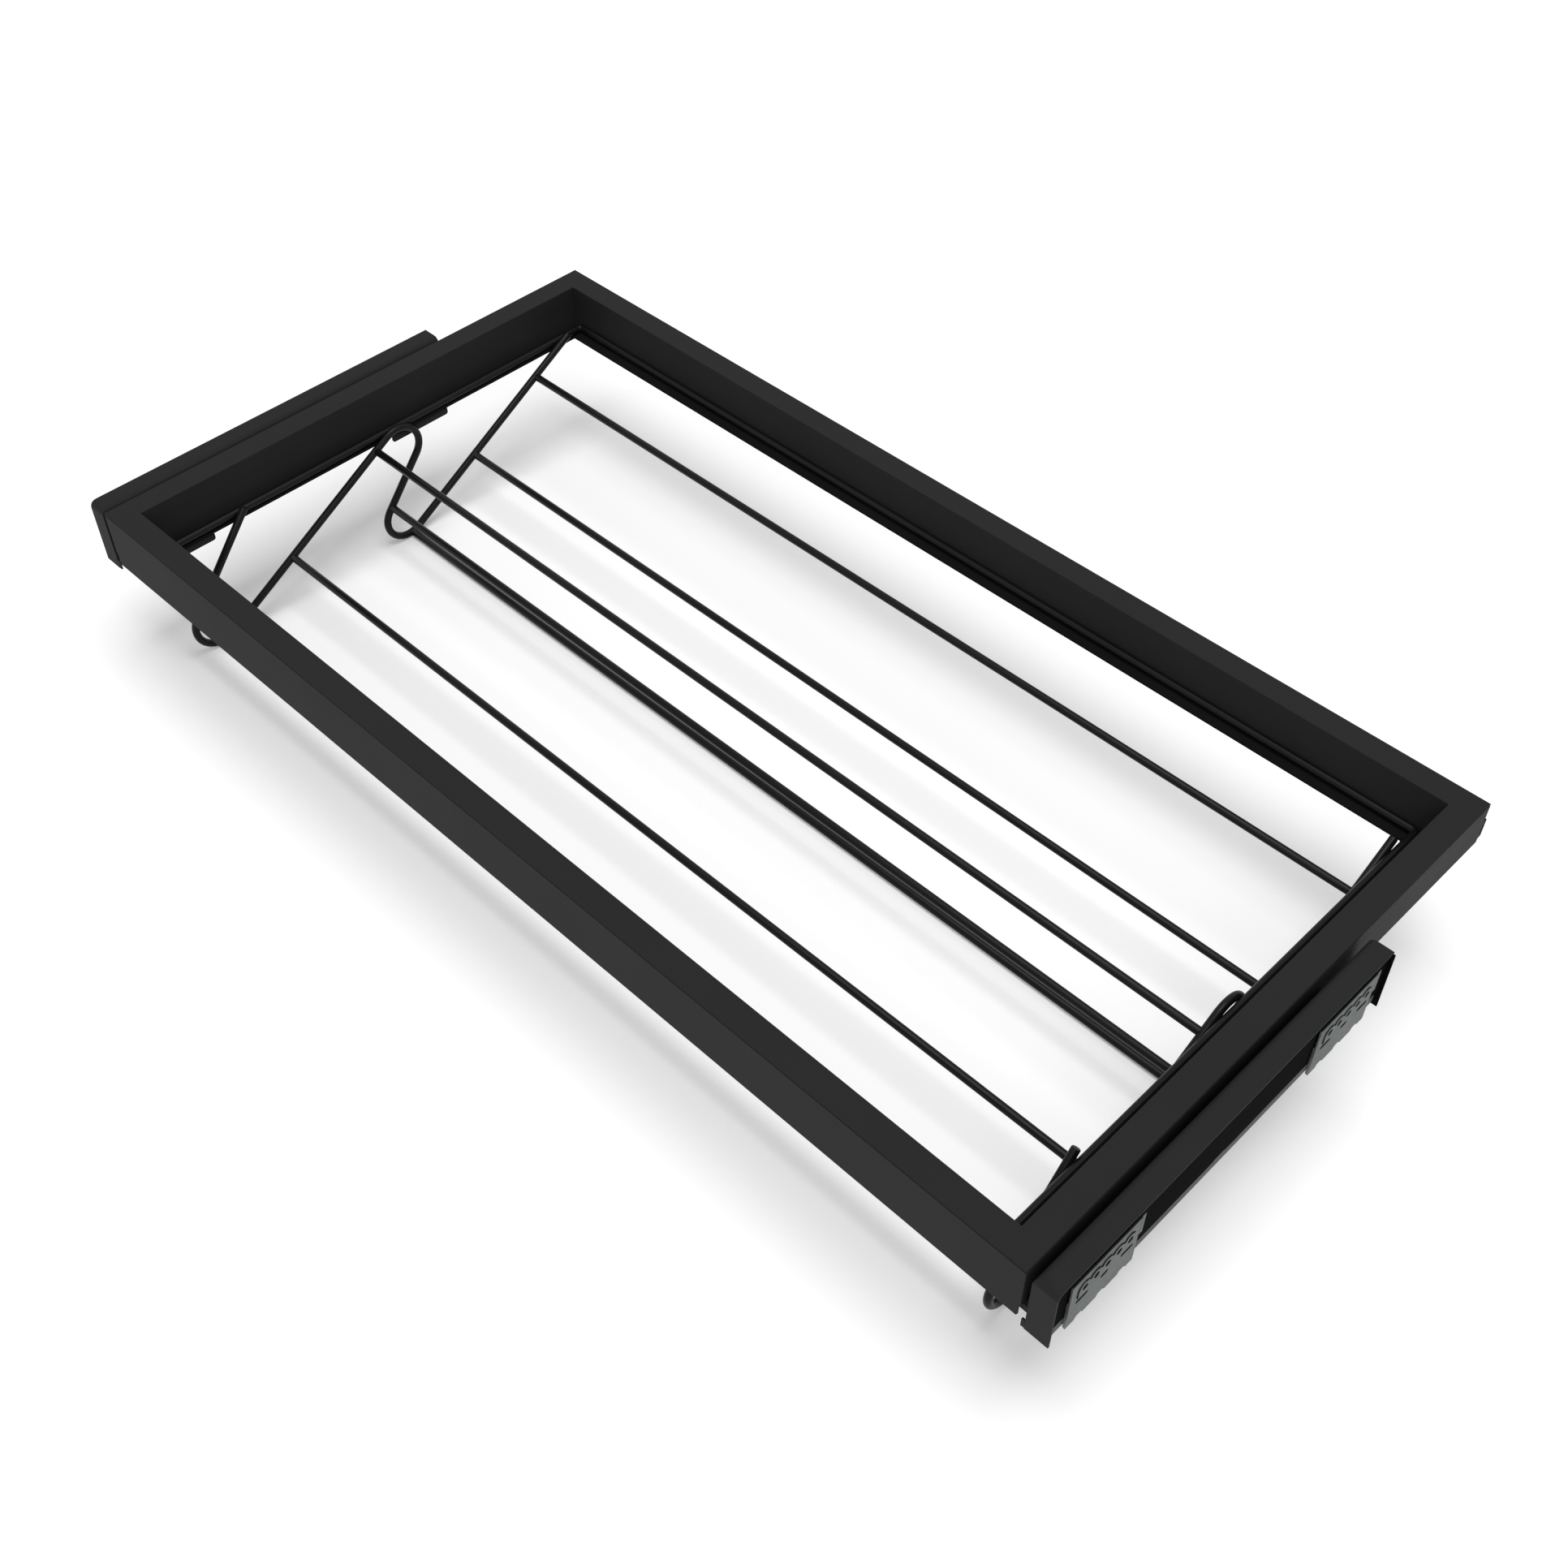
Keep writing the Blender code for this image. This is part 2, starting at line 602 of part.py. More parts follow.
def key_outline(width, leg, chamfer):
    """Angle with two legs, its outer corner at the origin."""
    return rounded([
        (0, 0, 0), (leg, 0, chamfer), (leg, width, chamfer),
        (width, width, 0), (width, leg, chamfer), (0, leg, chamfer),
    ], steps=1)


def build_corner_keys(body):
    """Cast angle keys that fill the rails' cavities at the mitres, with a pocket open at the top."""
    bottom = RAIL_BOTTOM_Z + LEDGE_THICKNESS + FIT
    top = Z_TOP - RAIL_WALL - FIT
    corner = RAIL_WALL + FIT
    solid = prism([key_outline(KEY_WIDTH, KEY_LEG, KEY_CHAMFER)], top - bottom, along_z((top + bottom) / 2))
    inset = KEY_POCKET_WALL
    pocket_outline = [(x + inset, y + inset) for x, y in
                      key_outline(KEY_WIDTH - 2 * inset, KEY_LEG - 2 * inset, KEY_CHAMFER)]
    pocket_low = bottom + KEY_FLOOR
    pocket = prism([pocket_outline], 2 * (top - pocket_low), along_z(top))
    shank = CSK_SHANK_R + HOLE_PLAY
    drill_low = RAIL_BOTTOM_Z
    drill = turned([(0, CSK_LENGTH), (shank, CSK_LENGTH), (shank, 0), (0, 0)])
    names = {(-1, 1): "front_left", (1, 1): "front_right", (-1, -1): "rear_left", (1, -1): "rear_right"}
    for (x_sign, y_in), name in names.items():
        origin = (x_sign * (X_SIDE - corner), (Y_FRONT if y_in > 0 else Y_REAR) + y_in * corner, 0)
        place = Matrix.Translation(origin) @ Matrix.Diagonal((-x_sign, y_in, 1, 1))
        key = add_part(f"corner_key_{name}", transformed(solid, place), body, "cast_grey")
        middle = RAIL_WIDTH / 2 - corner
        drills = copies(drill, [(KEY_SCREW_AT, middle, drill_low), (middle, KEY_SCREW_AT, drill_low)])
        boolean(key, transformed(gathered([pocket, drills]), place), "DIFFERENCE")
    screw = countersunk_screw()
    for number, place in enumerate(key_screw_places(), start=1):
        add_part(f"corner_screw_{number}", screw.copy(), body, "black_coat", place)


# Wire rack


def step_along(point, heading, distance):
    return (point[0] + distance * math.cos(heading), point[1] + distance * math.sin(heading))


def bend(point, heading, radius, turn):
    """Points round a bend from a place and heading; a positive turn goes left. Returns points and new heading."""
    left = math.copysign(1, turn)
    centre = step_along(point, heading + left * math.pi / 2, radius)
    steps = math.ceil(abs(math.degrees(turn)) / ARC_STEP_DEG)
    points = []
    for step in range(1, steps + 1):
        direction = heading + turn * step / steps
        points.append(step_along(centre, direction - left * math.pi / 2, radius))
    return points, heading + turn


def foot_joint(foot, heading, radius):
    """Place round a foot's bend where a cross wire is welded."""
    return bend(foot, heading, radius, -math.radians(FOOT_STATION_DEG))[0][-1]


def end_wire_path():
    """The end wire's line in (y, z), and the places on it where cross wires are welded."""
    down = math.pi + SLOPE
    hairpin = math.pi + SLOPE - LEG
    start = (Y_REAR - RAIL_WIDTH - END_START, END_START_Z)
    rear_foot = step_along(start, down, REAR_SLOPE)
    path = [start, rear_foot]
    lower, heading = bend(rear_foot, down, HAIRPIN_R, -hairpin)
    path += lower
    leg_top = step_along(path[-1], heading, MIDDLE_LEG)
    path.append(leg_top)
    upper, heading = bend(leg_top, heading, HAIRPIN_R, hairpin)
    path += upper
    front_top = path[-1]
    front_foot_z = HAIRPIN_LOW + FRONT_HAIRPIN_R * (1 - math.cos(SLOPE))
    front_slope = (front_top[1] - front_foot_z) / math.sin(SLOPE)
    front_foot = step_along(front_top, down, front_slope)
    path.append(front_foot)
    front_lower, heading = bend(front_foot, down, FRONT_HAIRPIN_R, -hairpin)
    path += front_lower
    path.append(step_along(path[-1], heading, FRONT_LEG))
    joints = [step_along(start, down, station) for station in (REAR_UPPER_STATION, REAR_LOWER_STATION)]
    joints += [foot_joint(rear_foot, down, HAIRPIN_R), step_along(lower[-1], LEG, LEG_STATION)]
    joints += [step_along(front_top, down, station) for station in (FRONT_UPPER_STATION, FRONT_LOWER_STATION)]
    joints += [foot_joint(front_foot, down, FRONT_HAIRPIN_R), step_along(front_lower[-1], LEG, LEG_STATION)]
    return path, joints


def build_wire_rack(body):
    front = Y_FRONT + RAIL_WIDTH + BORDER_END_GAP
    rear = Y_REAR - RAIL_WIDTH - BORDER_END_GAP
    ring = rounded([
        (-BORDER_X, front, BORDER_BEND), (BORDER_X, front, BORDER_BEND),
        (BORDER_X, rear, BORDER_BEND), (-BORDER_X, rear, BORDER_BEND),
    ], steps=4)
    wire("border_wire", [(x, y, BORDER_Z) for x, y in ring], body, cyclic=True)
    path, joints = end_wire_path()
    for side, name in ((-1, "left"), (1, "right")):
        wire(f"end_wire_{name}", [(side * END_WIRE_X, y, z) for y, z in path], body)
    reach = END_WIRE_X - WIRE_R - FIT
    for number, (y, z) in enumerate(joints, start=1):
        wire(f"cross_wire_{number}", [(-reach, y, z), (reach, y, z)], body)


# Carrier


def hood_surface():
    """Top, inner wall and front plate as one folded surface, its two top folds rounded."""
    low = Vector((CARRIER_X, PLATE_Y, HOOD_Z - PLATE_HEIGHT))
    high = Vector((CARRIER_X + HOOD_WIDTH, HOOD_END_Y, HOOD_Z))
    bm = bmesh.new()
    bmesh.ops.create_cube(bm, size=1.0)
    bmesh.ops.scale(bm, vec=high - low, verts=bm.verts)
    bmesh.ops.translate(bm, vec=(low + high) / 2, verts=bm.verts)
    open_sides = [f for f in bm.faces if f.normal.x > 0.5 or f.normal.y > 0.5 or f.normal.z < -0.5]
    bmesh.ops.delete(bm, geom=open_sides, context="FACES")
    folds = [e for e in bm.edges if len(e.link_faces) == 2 and any(f.normal.z > 0.5 for f in e.link_faces)]
    bmesh.ops.bevel(
        bm, geom=folds, offset=HOOD_BEND, affect="EDGES", segments=4, profile=0.5, material=-1,
    )
    return mesh_from(bm)


def tab_ranges():
    """Start and end of the two support tabs along Y."""
    front_end = KEY_END_Y + FRONT_TAB_SCREW_GAP + FRONT_TAB_SCREW_PITCH + TAB_MARGIN
    return ((PLATE_Y + SHEET + FRONT_TAB_GAP, front_end), (REAR_TAB_END_Y - REAR_TAB_LENGTH, REAR_TAB_END_Y))


def tab_mesh(start, end):
    """Tab folded in under the side rail, with a lip turned down at its inner edge."""
    inner = TAB_INNER_X + SHEET / 2
    corner = TAB_BEND
    path = [(CARRIER_X + SHEET * 0.6, FLANGE_Z), (inner + corner, FLANGE_Z)]
    path += arc((inner + corner, FLANGE_Z - corner), corner, 90, 180, 3)[1:]
    path += [(inner, FLANGE_Z + SHEET / 2 - TAB_LIP)]
    mesh = prism([sheet_outline(path, SHEET)], end - start, along_y((start + end) / 2))
    bm = bmesh.new()
    bm.from_mesh(mesh)
    low = min(vertex.co.z for vertex in bm.verts)
    edges = [e for e in bm.edges if abs(e.verts[0].co.z - low) < FIT and abs(e.verts[1].co.z - low) < FIT
             and abs(e.verts[0].co.y - e.verts[1].co.y) < FIT]
    bmesh.ops.bevel(bm, geom=edges, offset=TAB_CORNER, affect="EDGES", segments=3, profile=0.5, material=-1)
    return mesh_from(bm)


def flange_mesh():
    """Bottom flange that joins the two tabs, hidden under the side rail."""
    half = SHEET / 2 - FACE_INSET
    (start, _), (_, end) = tab_ranges()
    return box((CARRIER_X - FLANGE_REACH, start + TAB_MARGIN, FLANGE_Z - half),
               (CARRIER_X + SHEET * 0.6, end - TAB_MARGIN, FLANGE_Z + half))


def front_lip_mesh():
    """Lip turned down along the front tab's front end, with a slit beside the tab's inner lip."""
    start = tab_ranges()[0][0] + FACE_INSET
    return box((TAB_INNER_X + SHEET + FOLD_RELIEF, start, FLANGE_Z + SHEET / 2 - TAB_LIP),
               (CARRIER_X - FACE_INSET, start + SHEET, FLANGE_Z))


def hook_mesh():
    """Hook at the front plate's foot, with a round bead on its tip."""
    bottom = HOOD_Z - PLATE_HEIGHT
    tip = CARRIER_X - HOOK_REACH
    bead = (tip + HOOK_BEAD_R, bottom + HOOK_HEIGHT - HOOK_BEAD_R)
    outline = [(CARRIER_X + 2 * SHEET, bottom + FACE_INSET), (CARRIER_X + 2 * SHEET, bottom + HOOK_HEIGHT - HOOK_BEAD_R)]
    outline += [(bead[0] + HOOK_BEAD_R, bottom + HOOK_HEIGHT - 2 * HOOK_BEAD_R)]
    outline += arc(bead, HOOK_BEAD_R, 0, 180, 5)
    outline += [(tip, bottom + FACE_INSET)]
    return prism([outline], SHEET - 2 * FACE_INSET, along_y(PLATE_Y + SHEET / 2))


def rivet_places():
    return [(CARRIER_X, y, SLIDE_Z) for y in (PLATE_Y + RIVET_FRONT_AT, HOOD_END_Y - RIVET_REAR_INSET)]


def turned_x(profile):
    """A turned body whose axis runs along X."""
    return transformed(turned(profile), Matrix.Rotation(math.pi / 2, 4, "Y"))


def carrier_cutter():
    """The wall below its bottom flange, and the screw and rivet holes."""
    low = (CARRIER_X - SHEET, PLATE_Y + SHEET + FOLD_RELIEF, HOOD_Z - 2 * PLATE_HEIGHT)
    high = (CARRIER_X + 2 * SHEET, HOOD_END_Y + SHEET, FLANGE_Z - SHEET / 2 - FOLD_RELIEF)
    cutter_r = PAN_SHANK_R + HOLE_PLAY
    reach = 2 * (SHEET + FIT)
    drill = turned([(0, FIT), (cutter_r, FIT), (cutter_r, -reach), (0, -reach)])
    holes = [transformed(drill, Matrix.Translation(place)) for place in tray_screw_places()]
    rivet_r = RIVET_R + HOLE_PLAY
    punch = turned_x([(0, 2 * SHEET), (rivet_r, 2 * SHEET), (rivet_r, -SHEET), (0, -SHEET)])
    holes += [transformed(punch, Matrix.Translation(place)) for place in rivet_places()]
    return box(low, high), gathered(holes)


def pan_screw():
    """Pan head screw from below; the origin is the rail's bottom face."""
    seat = -FIT - SHEET - FIT
    top = PAN_REACH + LEDGE_THICKNESS - HOLE_PLAY
    profile = [(0, top), (PAN_SHANK_R * 0.5, top), (PAN_SHANK_R, top - PAN_SHANK_R), (PAN_SHANK_R, seat)]
    profile += [(PAN_HEAD_R, seat), (PAN_HEAD_R, seat - PAN_HEAD_HEIGHT * 0.5)]
    profile += [(PAN_HEAD_R * 0.6, seat - PAN_HEAD_HEIGHT), (0, seat - PAN_HEAD_HEIGHT)]
    return turned(profile)


def rivet():
    """Rivet through the carrier's wall and the inner rail's web; the origin is the wall's frame side."""
    inside = SHEET + FIT + RAIL_SHEET + FIT
    profile = [(0, inside + RIVET_HEAD_HEIGHT), (RIVET_HEAD_R * 0.6, inside + RIVET_HEAD_HEIGHT), (RIVET_HEAD_R, inside)]
    profile += [(RIVET_R, inside), (RIVET_R, -FIT), (RIVET_HEAD_R, -FIT)]
    profile += [(RIVET_HEAD_R * 0.6, -FIT - RIVET_HEAD_HEIGHT), (0, -FIT - RIVET_HEAD_HEIGHT)]
    return turned_x(profile)


def build_carrier(body, side, name):
    carrier = add_part(f"carrier_{name}", sided(hood_surface(), side), body, "black_coat")
    solidify = carrier.modifiers.new("sheet", "SOLIDIFY")
    solidify.thickness = SHEET
    solidify.offset = -1
    solidify.use_even_offset = True
    trim, holes = carrier_cutter()
    boolean(carrier, sided(trim, side), "DIFFERENCE")
    for start, end in tab_ranges():
        boolean(carrier, sided(tab_mesh(start, end), side), "UNION")
    for fold in (flange_mesh(), front_lip_mesh(), hook_mesh()):
        boolean(carrier, sided(fold, side), "UNION")
    boolean(carrier, sided(holes, side), "DIFFERENCE")
    screw = pan_screw()
    for number, place in enumerate(mirrored_places(tray_screw_places(), side), start=1):
        add_part(f"tray_screw_{name}_{number}", screw.copy(), body, "black_coat", place)
    pin = sided(rivet(), side)
    for number, place in enumerate(mirrored_places(rivet_places(), side), start=1):
        add_part(f"carrier_rivet_{name}_{number}", pin.copy(), body, "zinc", place)


# Slide members


def section_prism(path, thickness, start, end):
    """A bent sheet section, its path given in depth from the cabinet side and height, run along Y."""
    outline = [(FIXED_X - depth, SLIDE_Z + height) for depth, height in sheet_outline(path, thickness)]
    return prism([outline], end - start, along_y((start + end) / 2))


def both_ways(upper_half):
    """Full section from its upper half: the same path mirrored below the slide's centre."""
    return [(depth, -height) for depth, height in reversed(upper_half)] + upper_half


def soft_corner(web, flange, inwards):
    """Small bend between a web and its upper flange; inwards is +1 when the flange runs towards the tray."""
    centre = (web + inwards * WEB_BEND, flange - WEB_BEND)
    return arc(centre, WEB_BEND, 180 if inwards > 0 else 0, 90, 3)


def fixed_section():
    race = arc((BALL_DEPTH, OUTER_BALL), RACE_R, 180 - RACE_DEG, RACE_DEG, RACE_STEPS)
    return both_ways(soft_corner(RAIL_SHEET / 2, FIXED_FLANGE, 1) + race + [(FLANGE_TIP, FIXED_FLANGE)])


def middle_section():
    return both_ways(soft_corner(MIDDLE_WEB, MIDDLE_FLANGE, 1) + [(FLANGE_TIP, MIDDLE_FLANGE)])


def inner_section():
    race = arc((BALL_DEPTH, INNER_BALL), RACE_R, -RACE_DEG, -180 + RACE_END_DEG, RACE_STEPS)
    return both_ways(soft_corner(INNER_WEB, INNER_FLANGE, -1) + race)


def cage_section(web, level):
    return both_ways([(web, level), (FLANGE_TIP - FLANGE_LIP, level)])


def ball_places(level):
    """Upper and lower row of one cage, in the middle of the slide's length."""
    x = FIXED_X - BALL_DEPTH
    first = SLIDE_MIDDLE_Y - BALL_PITCH * (BALL_COUNT - 1) / 2
    rows = (SLIDE_Z + level, SLIDE_Z - level)
    return [(x, first + BALL_PITCH * number, z) for z in rows for number in range(BALL_COUNT)]


def ball():
    bm = bmesh.new()
    bmesh.ops.create_icosphere(bm, subdivisions=2, radius=BALL_R)
    return mesh_from(bm)


def build_cage(body, side, name, web, level):
    """Retainer with its balls: a channel of thin sheet and two rows of balls held in its flanges."""
    half = BALL_PITCH * (BALL_COUNT - 1) / 2 + CAGE_END
    strip = section_prism(cage_section(web, level), CAGE_SHEET, SLIDE_MIDDLE_Y - half, SLIDE_MIDDLE_Y + half)
    cage = add_part(name, sided(strip, side), body, "steel")
    boolean(cage, sided(copies(ball(), ball_places(level)), side), "UNION")


def inner_rail_mesh():
    return section_prism(inner_section(), RAIL_SHEET, SLIDE_Y, SLIDE_END_Y)


def build_slide(bodies, side, name):
    inner = add_part(f"inner_rail_{name}", sided(inner_rail_mesh(), side), bodies["tray"], "zinc")
    rivet_r = RIVET_R + HOLE_PLAY
    punch = turned_x([(0, 4 * SHEET), (rivet_r, 4 * SHEET), (rivet_r, 0), (0, 0)])
    boolean(inner, sided(copies(punch, rivet_places()), side), "DIFFERENCE")
    middle = section_prism(
        middle_section(), MIDDLE_SHEET, SLIDE_Y + MIDDLE_SETBACK, SLIDE_END_Y - MIDDLE_SETBACK,
    )
    add_part(f"middle_rail_{name}", sided(middle, side), bodies["middle_rails"], "zinc")
    fixed = section_prism(fixed_section(), RAIL_SHEET, SLIDE_Y, SLIDE_END_Y)
    add_part(f"fixed_rail_{name}", sided(fixed, side), bodies["cabinet_side"], "zinc")
    build_cage(bodies["inner_cages"], side, f"inner_ball_cage_{name}", CAGE_WEB_INNER, INNER_BALL)
    build_cage(bodies["outer_cages"], side, f"outer_ball_cage_{name}", CAGE_WEB_OUTER, OUTER_BALL)


# Cabinet side


def bracket_starts():
    """Front ends of the two brackets of one side."""
    return [PLATE_Y + BRACKET_FRONT_AT, HOOD_END_Y - BRACKET_REAR_INSET - BRACKET_LENGTH]


def build_backing_plate(body, side, name):
    rear = HOOD_END_Y
    low = Z_TOP - BACK_BOTTOM
    slot_start = PLATE_Y + BACK_SLOT_AT
    web_end = rear - END_PLATE / 2
    outline = [
        (SLIDE_Y, low), (slot_start, low), (slot_start, low + BACK_SLOT_HEIGHT),
        (slot_start + BACK_SLOT_LENGTH, low + BACK_SLOT_HEIGHT), (slot_start + BACK_SLOT_LENGTH, low),
        (web_end, low), (web_end, Z_TOP - BACK_TOP), (SLIDE_Y, Z_TOP - BACK_TOP),
    ]
    web = prism([outline], BACK_SHEET, along_x(BACK_X + BACK_SHEET / 2))
    plate = add_part(f"backing_plate_{name}", sided(web, side), body, "dull_black")
    left = SLIDE_X + END_PLATE_INSET
    right = CARRIER_X + HOOD_WIDTH + END_PLATE_OVERHANG
    bottom = Z_TOP - END_PLATE_BOTTOM
    top = HOOD_Z - SHEET - FIT
    end_outline = rounded([(left, bottom, 0), (right, bottom, 0), (right, top, 0), (left, top, HOOD_BEND)])
    end_plate = prism([end_outline], END_PLATE, along_y(rear - END_PLATE / 2))
    boolean(plate, sided(end_plate, side), "UNION")


def lance_outline(end):
    """Locking leaf beyond a bracket's rear end, standing on a foot that grows from the bracket."""
    top = Z_TOP - LANCE_TOP
    bottom = top - LANCE_HEIGHT
    leaf = end + LANCE_GAP
    return [
        (end - BRACKET_SHEET, bottom), (leaf + LANCE_WIDTH, bottom), (leaf + LANCE_WIDTH, top),
        (leaf, top), (leaf, bottom + LANCE_FOOT), (end - BRACKET_SHEET, bottom + LANCE_FOOT),
    ]


def notch_outline(start):
    """One shallow notch in the bracket's lower edge, its sides slanted."""
    low = Z_TOP - BRACKET_BOTTOM
    end = start + NOTCH_LENGTH
    return [
        (start, low), (start, low - NOTCH_DEPTH), (end, low - NOTCH_DEPTH), (end, low),
        (end - NOTCH_SLANT, low + NOTCH_DEPTH), (start + NOTCH_SLANT, low + NOTCH_DEPTH),
    ]


def screw_hole_places(start):
    first = start + SCREW_HOLE_START
    height = Z_TOP - SCREW_HOLE_DROP
    return [(first + number * SCREW_HOLE_PITCH, height) for number in range(SCREW_HOLE_COUNT)]


def scallop_outline(start):
    """Raised strip round the screw holes: straight below, one arc over each hole."""
    low = Z_TOP - BRACKET_STEP
    holes = screw_hole_places(start)
    half = SCREW_HOLE_PITCH / 2
    cusp = math.degrees(math.acos(min(half / SCALLOP_R, 1.0)))
    outline = [(holes[0][0] - SCALLOP_R, low), (holes[-1][0] + SCALLOP_R, low)]
    for number, hole in reversed(list(enumerate(holes))):
        first = 0.0 if number == SCREW_HOLE_COUNT - 1 else cusp
        last = 180.0 if number == 0 else 180.0 - cusp
        points = arc(hole, SCALLOP_R, first, last, 4)
        outline += points if number == SCREW_HOLE_COUNT - 1 else points[1:]
    return outline


def bracket_cutter(start):
    """Screw holes, slots and the notches in the lower edge."""
    holes = screw_hole_places(start)
    slot_z = Z_TOP - SLOT_DROP
    loops = [circle(place, SCREW_HOLE_R, 12) for place in holes]
    loops.append(slot((holes[0][0], slot_z), SLOT_LONG, SLOT_R))
    loops.append(slot((holes[SCREW_HOLE_COUNT // 2][0], slot_z), SLOT_SHORT, SLOT_R))
    loops.append(slot((holes[-1][0], slot_z), SLOT_LONG, SLOT_R))
    loops += [notch_outline(start + offset) for offset in NOTCH_AT]
    through = along_x(BRACKET_X - BRACKET_DEPTH / 2)
    return gathered([prism([loop], 2 * BRACKET_DEPTH, through) for loop in loops])


def build_brackets(body, side, name):
    face = BRACKET_X - BRACKET_RAISE
    foot = BACK_X + BACK_SHEET + FIT
    for start, end_name in zip(bracket_starts(), ("front", "rear")):
        end = start + BRACKET_LENGTH
        low = Z_TOP - BRACKET_BOTTOM
        sheet = along_x(face - BRACKET_SHEET / 2)
        plate = prism([rectangle(start, low, end, Z_TOP - BRACKET_TOP)], BRACKET_SHEET, sheet)
        bracket = add_part(f"wall_bracket_{end_name}_{name}", sided(plate, side), body, "zinc")
        strip_inner = face - BRACKET_SHEET / 2
        strip = prism([scallop_outline(start)], BRACKET_X - strip_inner, along_x((BRACKET_X + strip_inner) / 2))
        boolean(bracket, sided(strip, side), "UNION")
        leaf = prism([lance_outline(end)], BRACKET_SHEET - 2 * FACE_INSET, sheet)
        boolean(bracket, sided(leaf, side), "UNION")
        inside = face - BRACKET_SHEET / 2
        for y_low, y_high in ((start + FACE_INSET, start + BRACKET_SHEET), (end - BRACKET_SHEET, end - FACE_INSET)):
            flange = box((foot, y_low, low + FACE_INSET), (inside, y_high, Z_TOP - BRACKET_STEP))
            boolean(bracket, sided(flange, side), "UNION")
        boolean(bracket, sided(bracket_cutter(start), side), "DIFFERENCE")


def shade(parts):
    """Round pieces are shaded smooth, flat ones keep their edges."""
    for part in parts:
        if part.type == "MESH":
            part.data.shade_smooth()
            part.data.set_sharp_from_angle(angle=math.radians(35))


clear_scene()
PARTS = new_collection("pull_out_shoe_rack")
CUTTERS = new_collection("cutters")
slide_centre = (0, SLIDE_MIDDLE_Y, SLIDE_Z)
BODIES = {
    name: new_empty(name, slide_centre)
    for name in ("cabinet_side", "outer_cages", "middle_rails", "inner_cages", "tray")
}
build_frame(BODIES["tray"])
build_corner_keys(BODIES["tray"])
build_wire_rack(BODIES["tray"])
for slide_side, slide_name in ((-1, "left"), (1, "right")):
    build_carrier(BODIES["tray"], slide_side, slide_name)
    build_slide(BODIES, slide_side, slide_name)
    build_backing_plate(BODIES["cabinet_side"], slide_side, slide_name)
    build_brackets(BODIES["cabinet_side"], slide_side, slide_name)
shade([item for item in PARTS.objects if item.type == "MESH"])
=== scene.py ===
# %% [markdown]
# # Dressing a pull-out shoe rack
# The object is a wardrobe tray for shoes: a black frame, a hanging wire rack and two telescopic
# slides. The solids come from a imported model, so every piece already has its size and its place in
# metres. This lesson keeps those places and gives each piece its rounded edges, its round wires and
# its finish.

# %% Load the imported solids
import json
import math

import bmesh
import bpy
from mathutils import Matrix, Vector


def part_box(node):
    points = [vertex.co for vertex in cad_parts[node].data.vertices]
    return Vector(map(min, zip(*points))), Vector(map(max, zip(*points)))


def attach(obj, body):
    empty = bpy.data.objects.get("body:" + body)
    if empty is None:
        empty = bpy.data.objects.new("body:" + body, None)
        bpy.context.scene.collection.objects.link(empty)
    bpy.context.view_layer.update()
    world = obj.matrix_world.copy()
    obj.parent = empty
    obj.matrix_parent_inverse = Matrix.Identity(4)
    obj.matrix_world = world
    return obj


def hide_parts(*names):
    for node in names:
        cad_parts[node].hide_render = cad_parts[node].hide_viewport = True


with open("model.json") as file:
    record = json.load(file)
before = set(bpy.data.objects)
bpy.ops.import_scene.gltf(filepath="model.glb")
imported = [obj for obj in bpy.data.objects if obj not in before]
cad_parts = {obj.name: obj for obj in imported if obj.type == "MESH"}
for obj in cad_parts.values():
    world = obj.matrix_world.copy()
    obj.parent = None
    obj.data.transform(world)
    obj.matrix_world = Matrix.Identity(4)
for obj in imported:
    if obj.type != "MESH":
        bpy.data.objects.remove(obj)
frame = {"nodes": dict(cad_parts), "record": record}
NODES = frame["nodes"]
SLOT_OF = {row["node"]: row["material_slot"] for row in frame["record"]["subparts"]}
BODIES = frame["record"]["behaviour"]["bodies"]
BODY_OF = {node: body for body, nodes in BODIES.items() for node in nodes}
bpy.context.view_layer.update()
FRAME_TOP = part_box("left_rail")[1].z

# %% [markdown]
# ## Where the camera stood
# A camera is found by matching the frame's corners: a normal lens, above the right front corner,
# looking down at about 47 degrees. It could be placed by eye, but a measured direction keeps every
# edge in line.

# %% Camera
LENS_MM = 43.86
SENSOR_MM = 36.0
STAND = Vector((0.7227, -0.6962, FRAME_TOP + 0.9321))
LOOK = Vector((-0.47844, 0.48554, -0.73167))
camera_data = bpy.data.cameras.new("photo_camera")
camera_data.lens = LENS_MM
camera_data.sensor_width = SENSOR_MM
camera = bpy.data.objects.new("photo_camera", camera_data)
camera.location = STAND
camera.rotation_euler = LOOK.to_track_quat("-Z", "Y").to_euler()
bpy.context.scene.collection.objects.link(camera)
bpy.context.scene.camera = camera
bpy.context.scene.view_settings.view_transform = "Standard"
print("camera height over the floor:", round(STAND.z, 3), "m")

# %% [markdown]
# ## A white studio
# Black pieces are drawn by what they mirror, so the room matters more than the lamps. The room is
# white to the camera and to reflections, and half as bright as a light. A wide lamp high overhead
# lays the soft shadow under the rails, and a weak one at the right front opens the outer faces. The
# floor adds a little light of its own for the camera, so it is white and keeps the shadow.

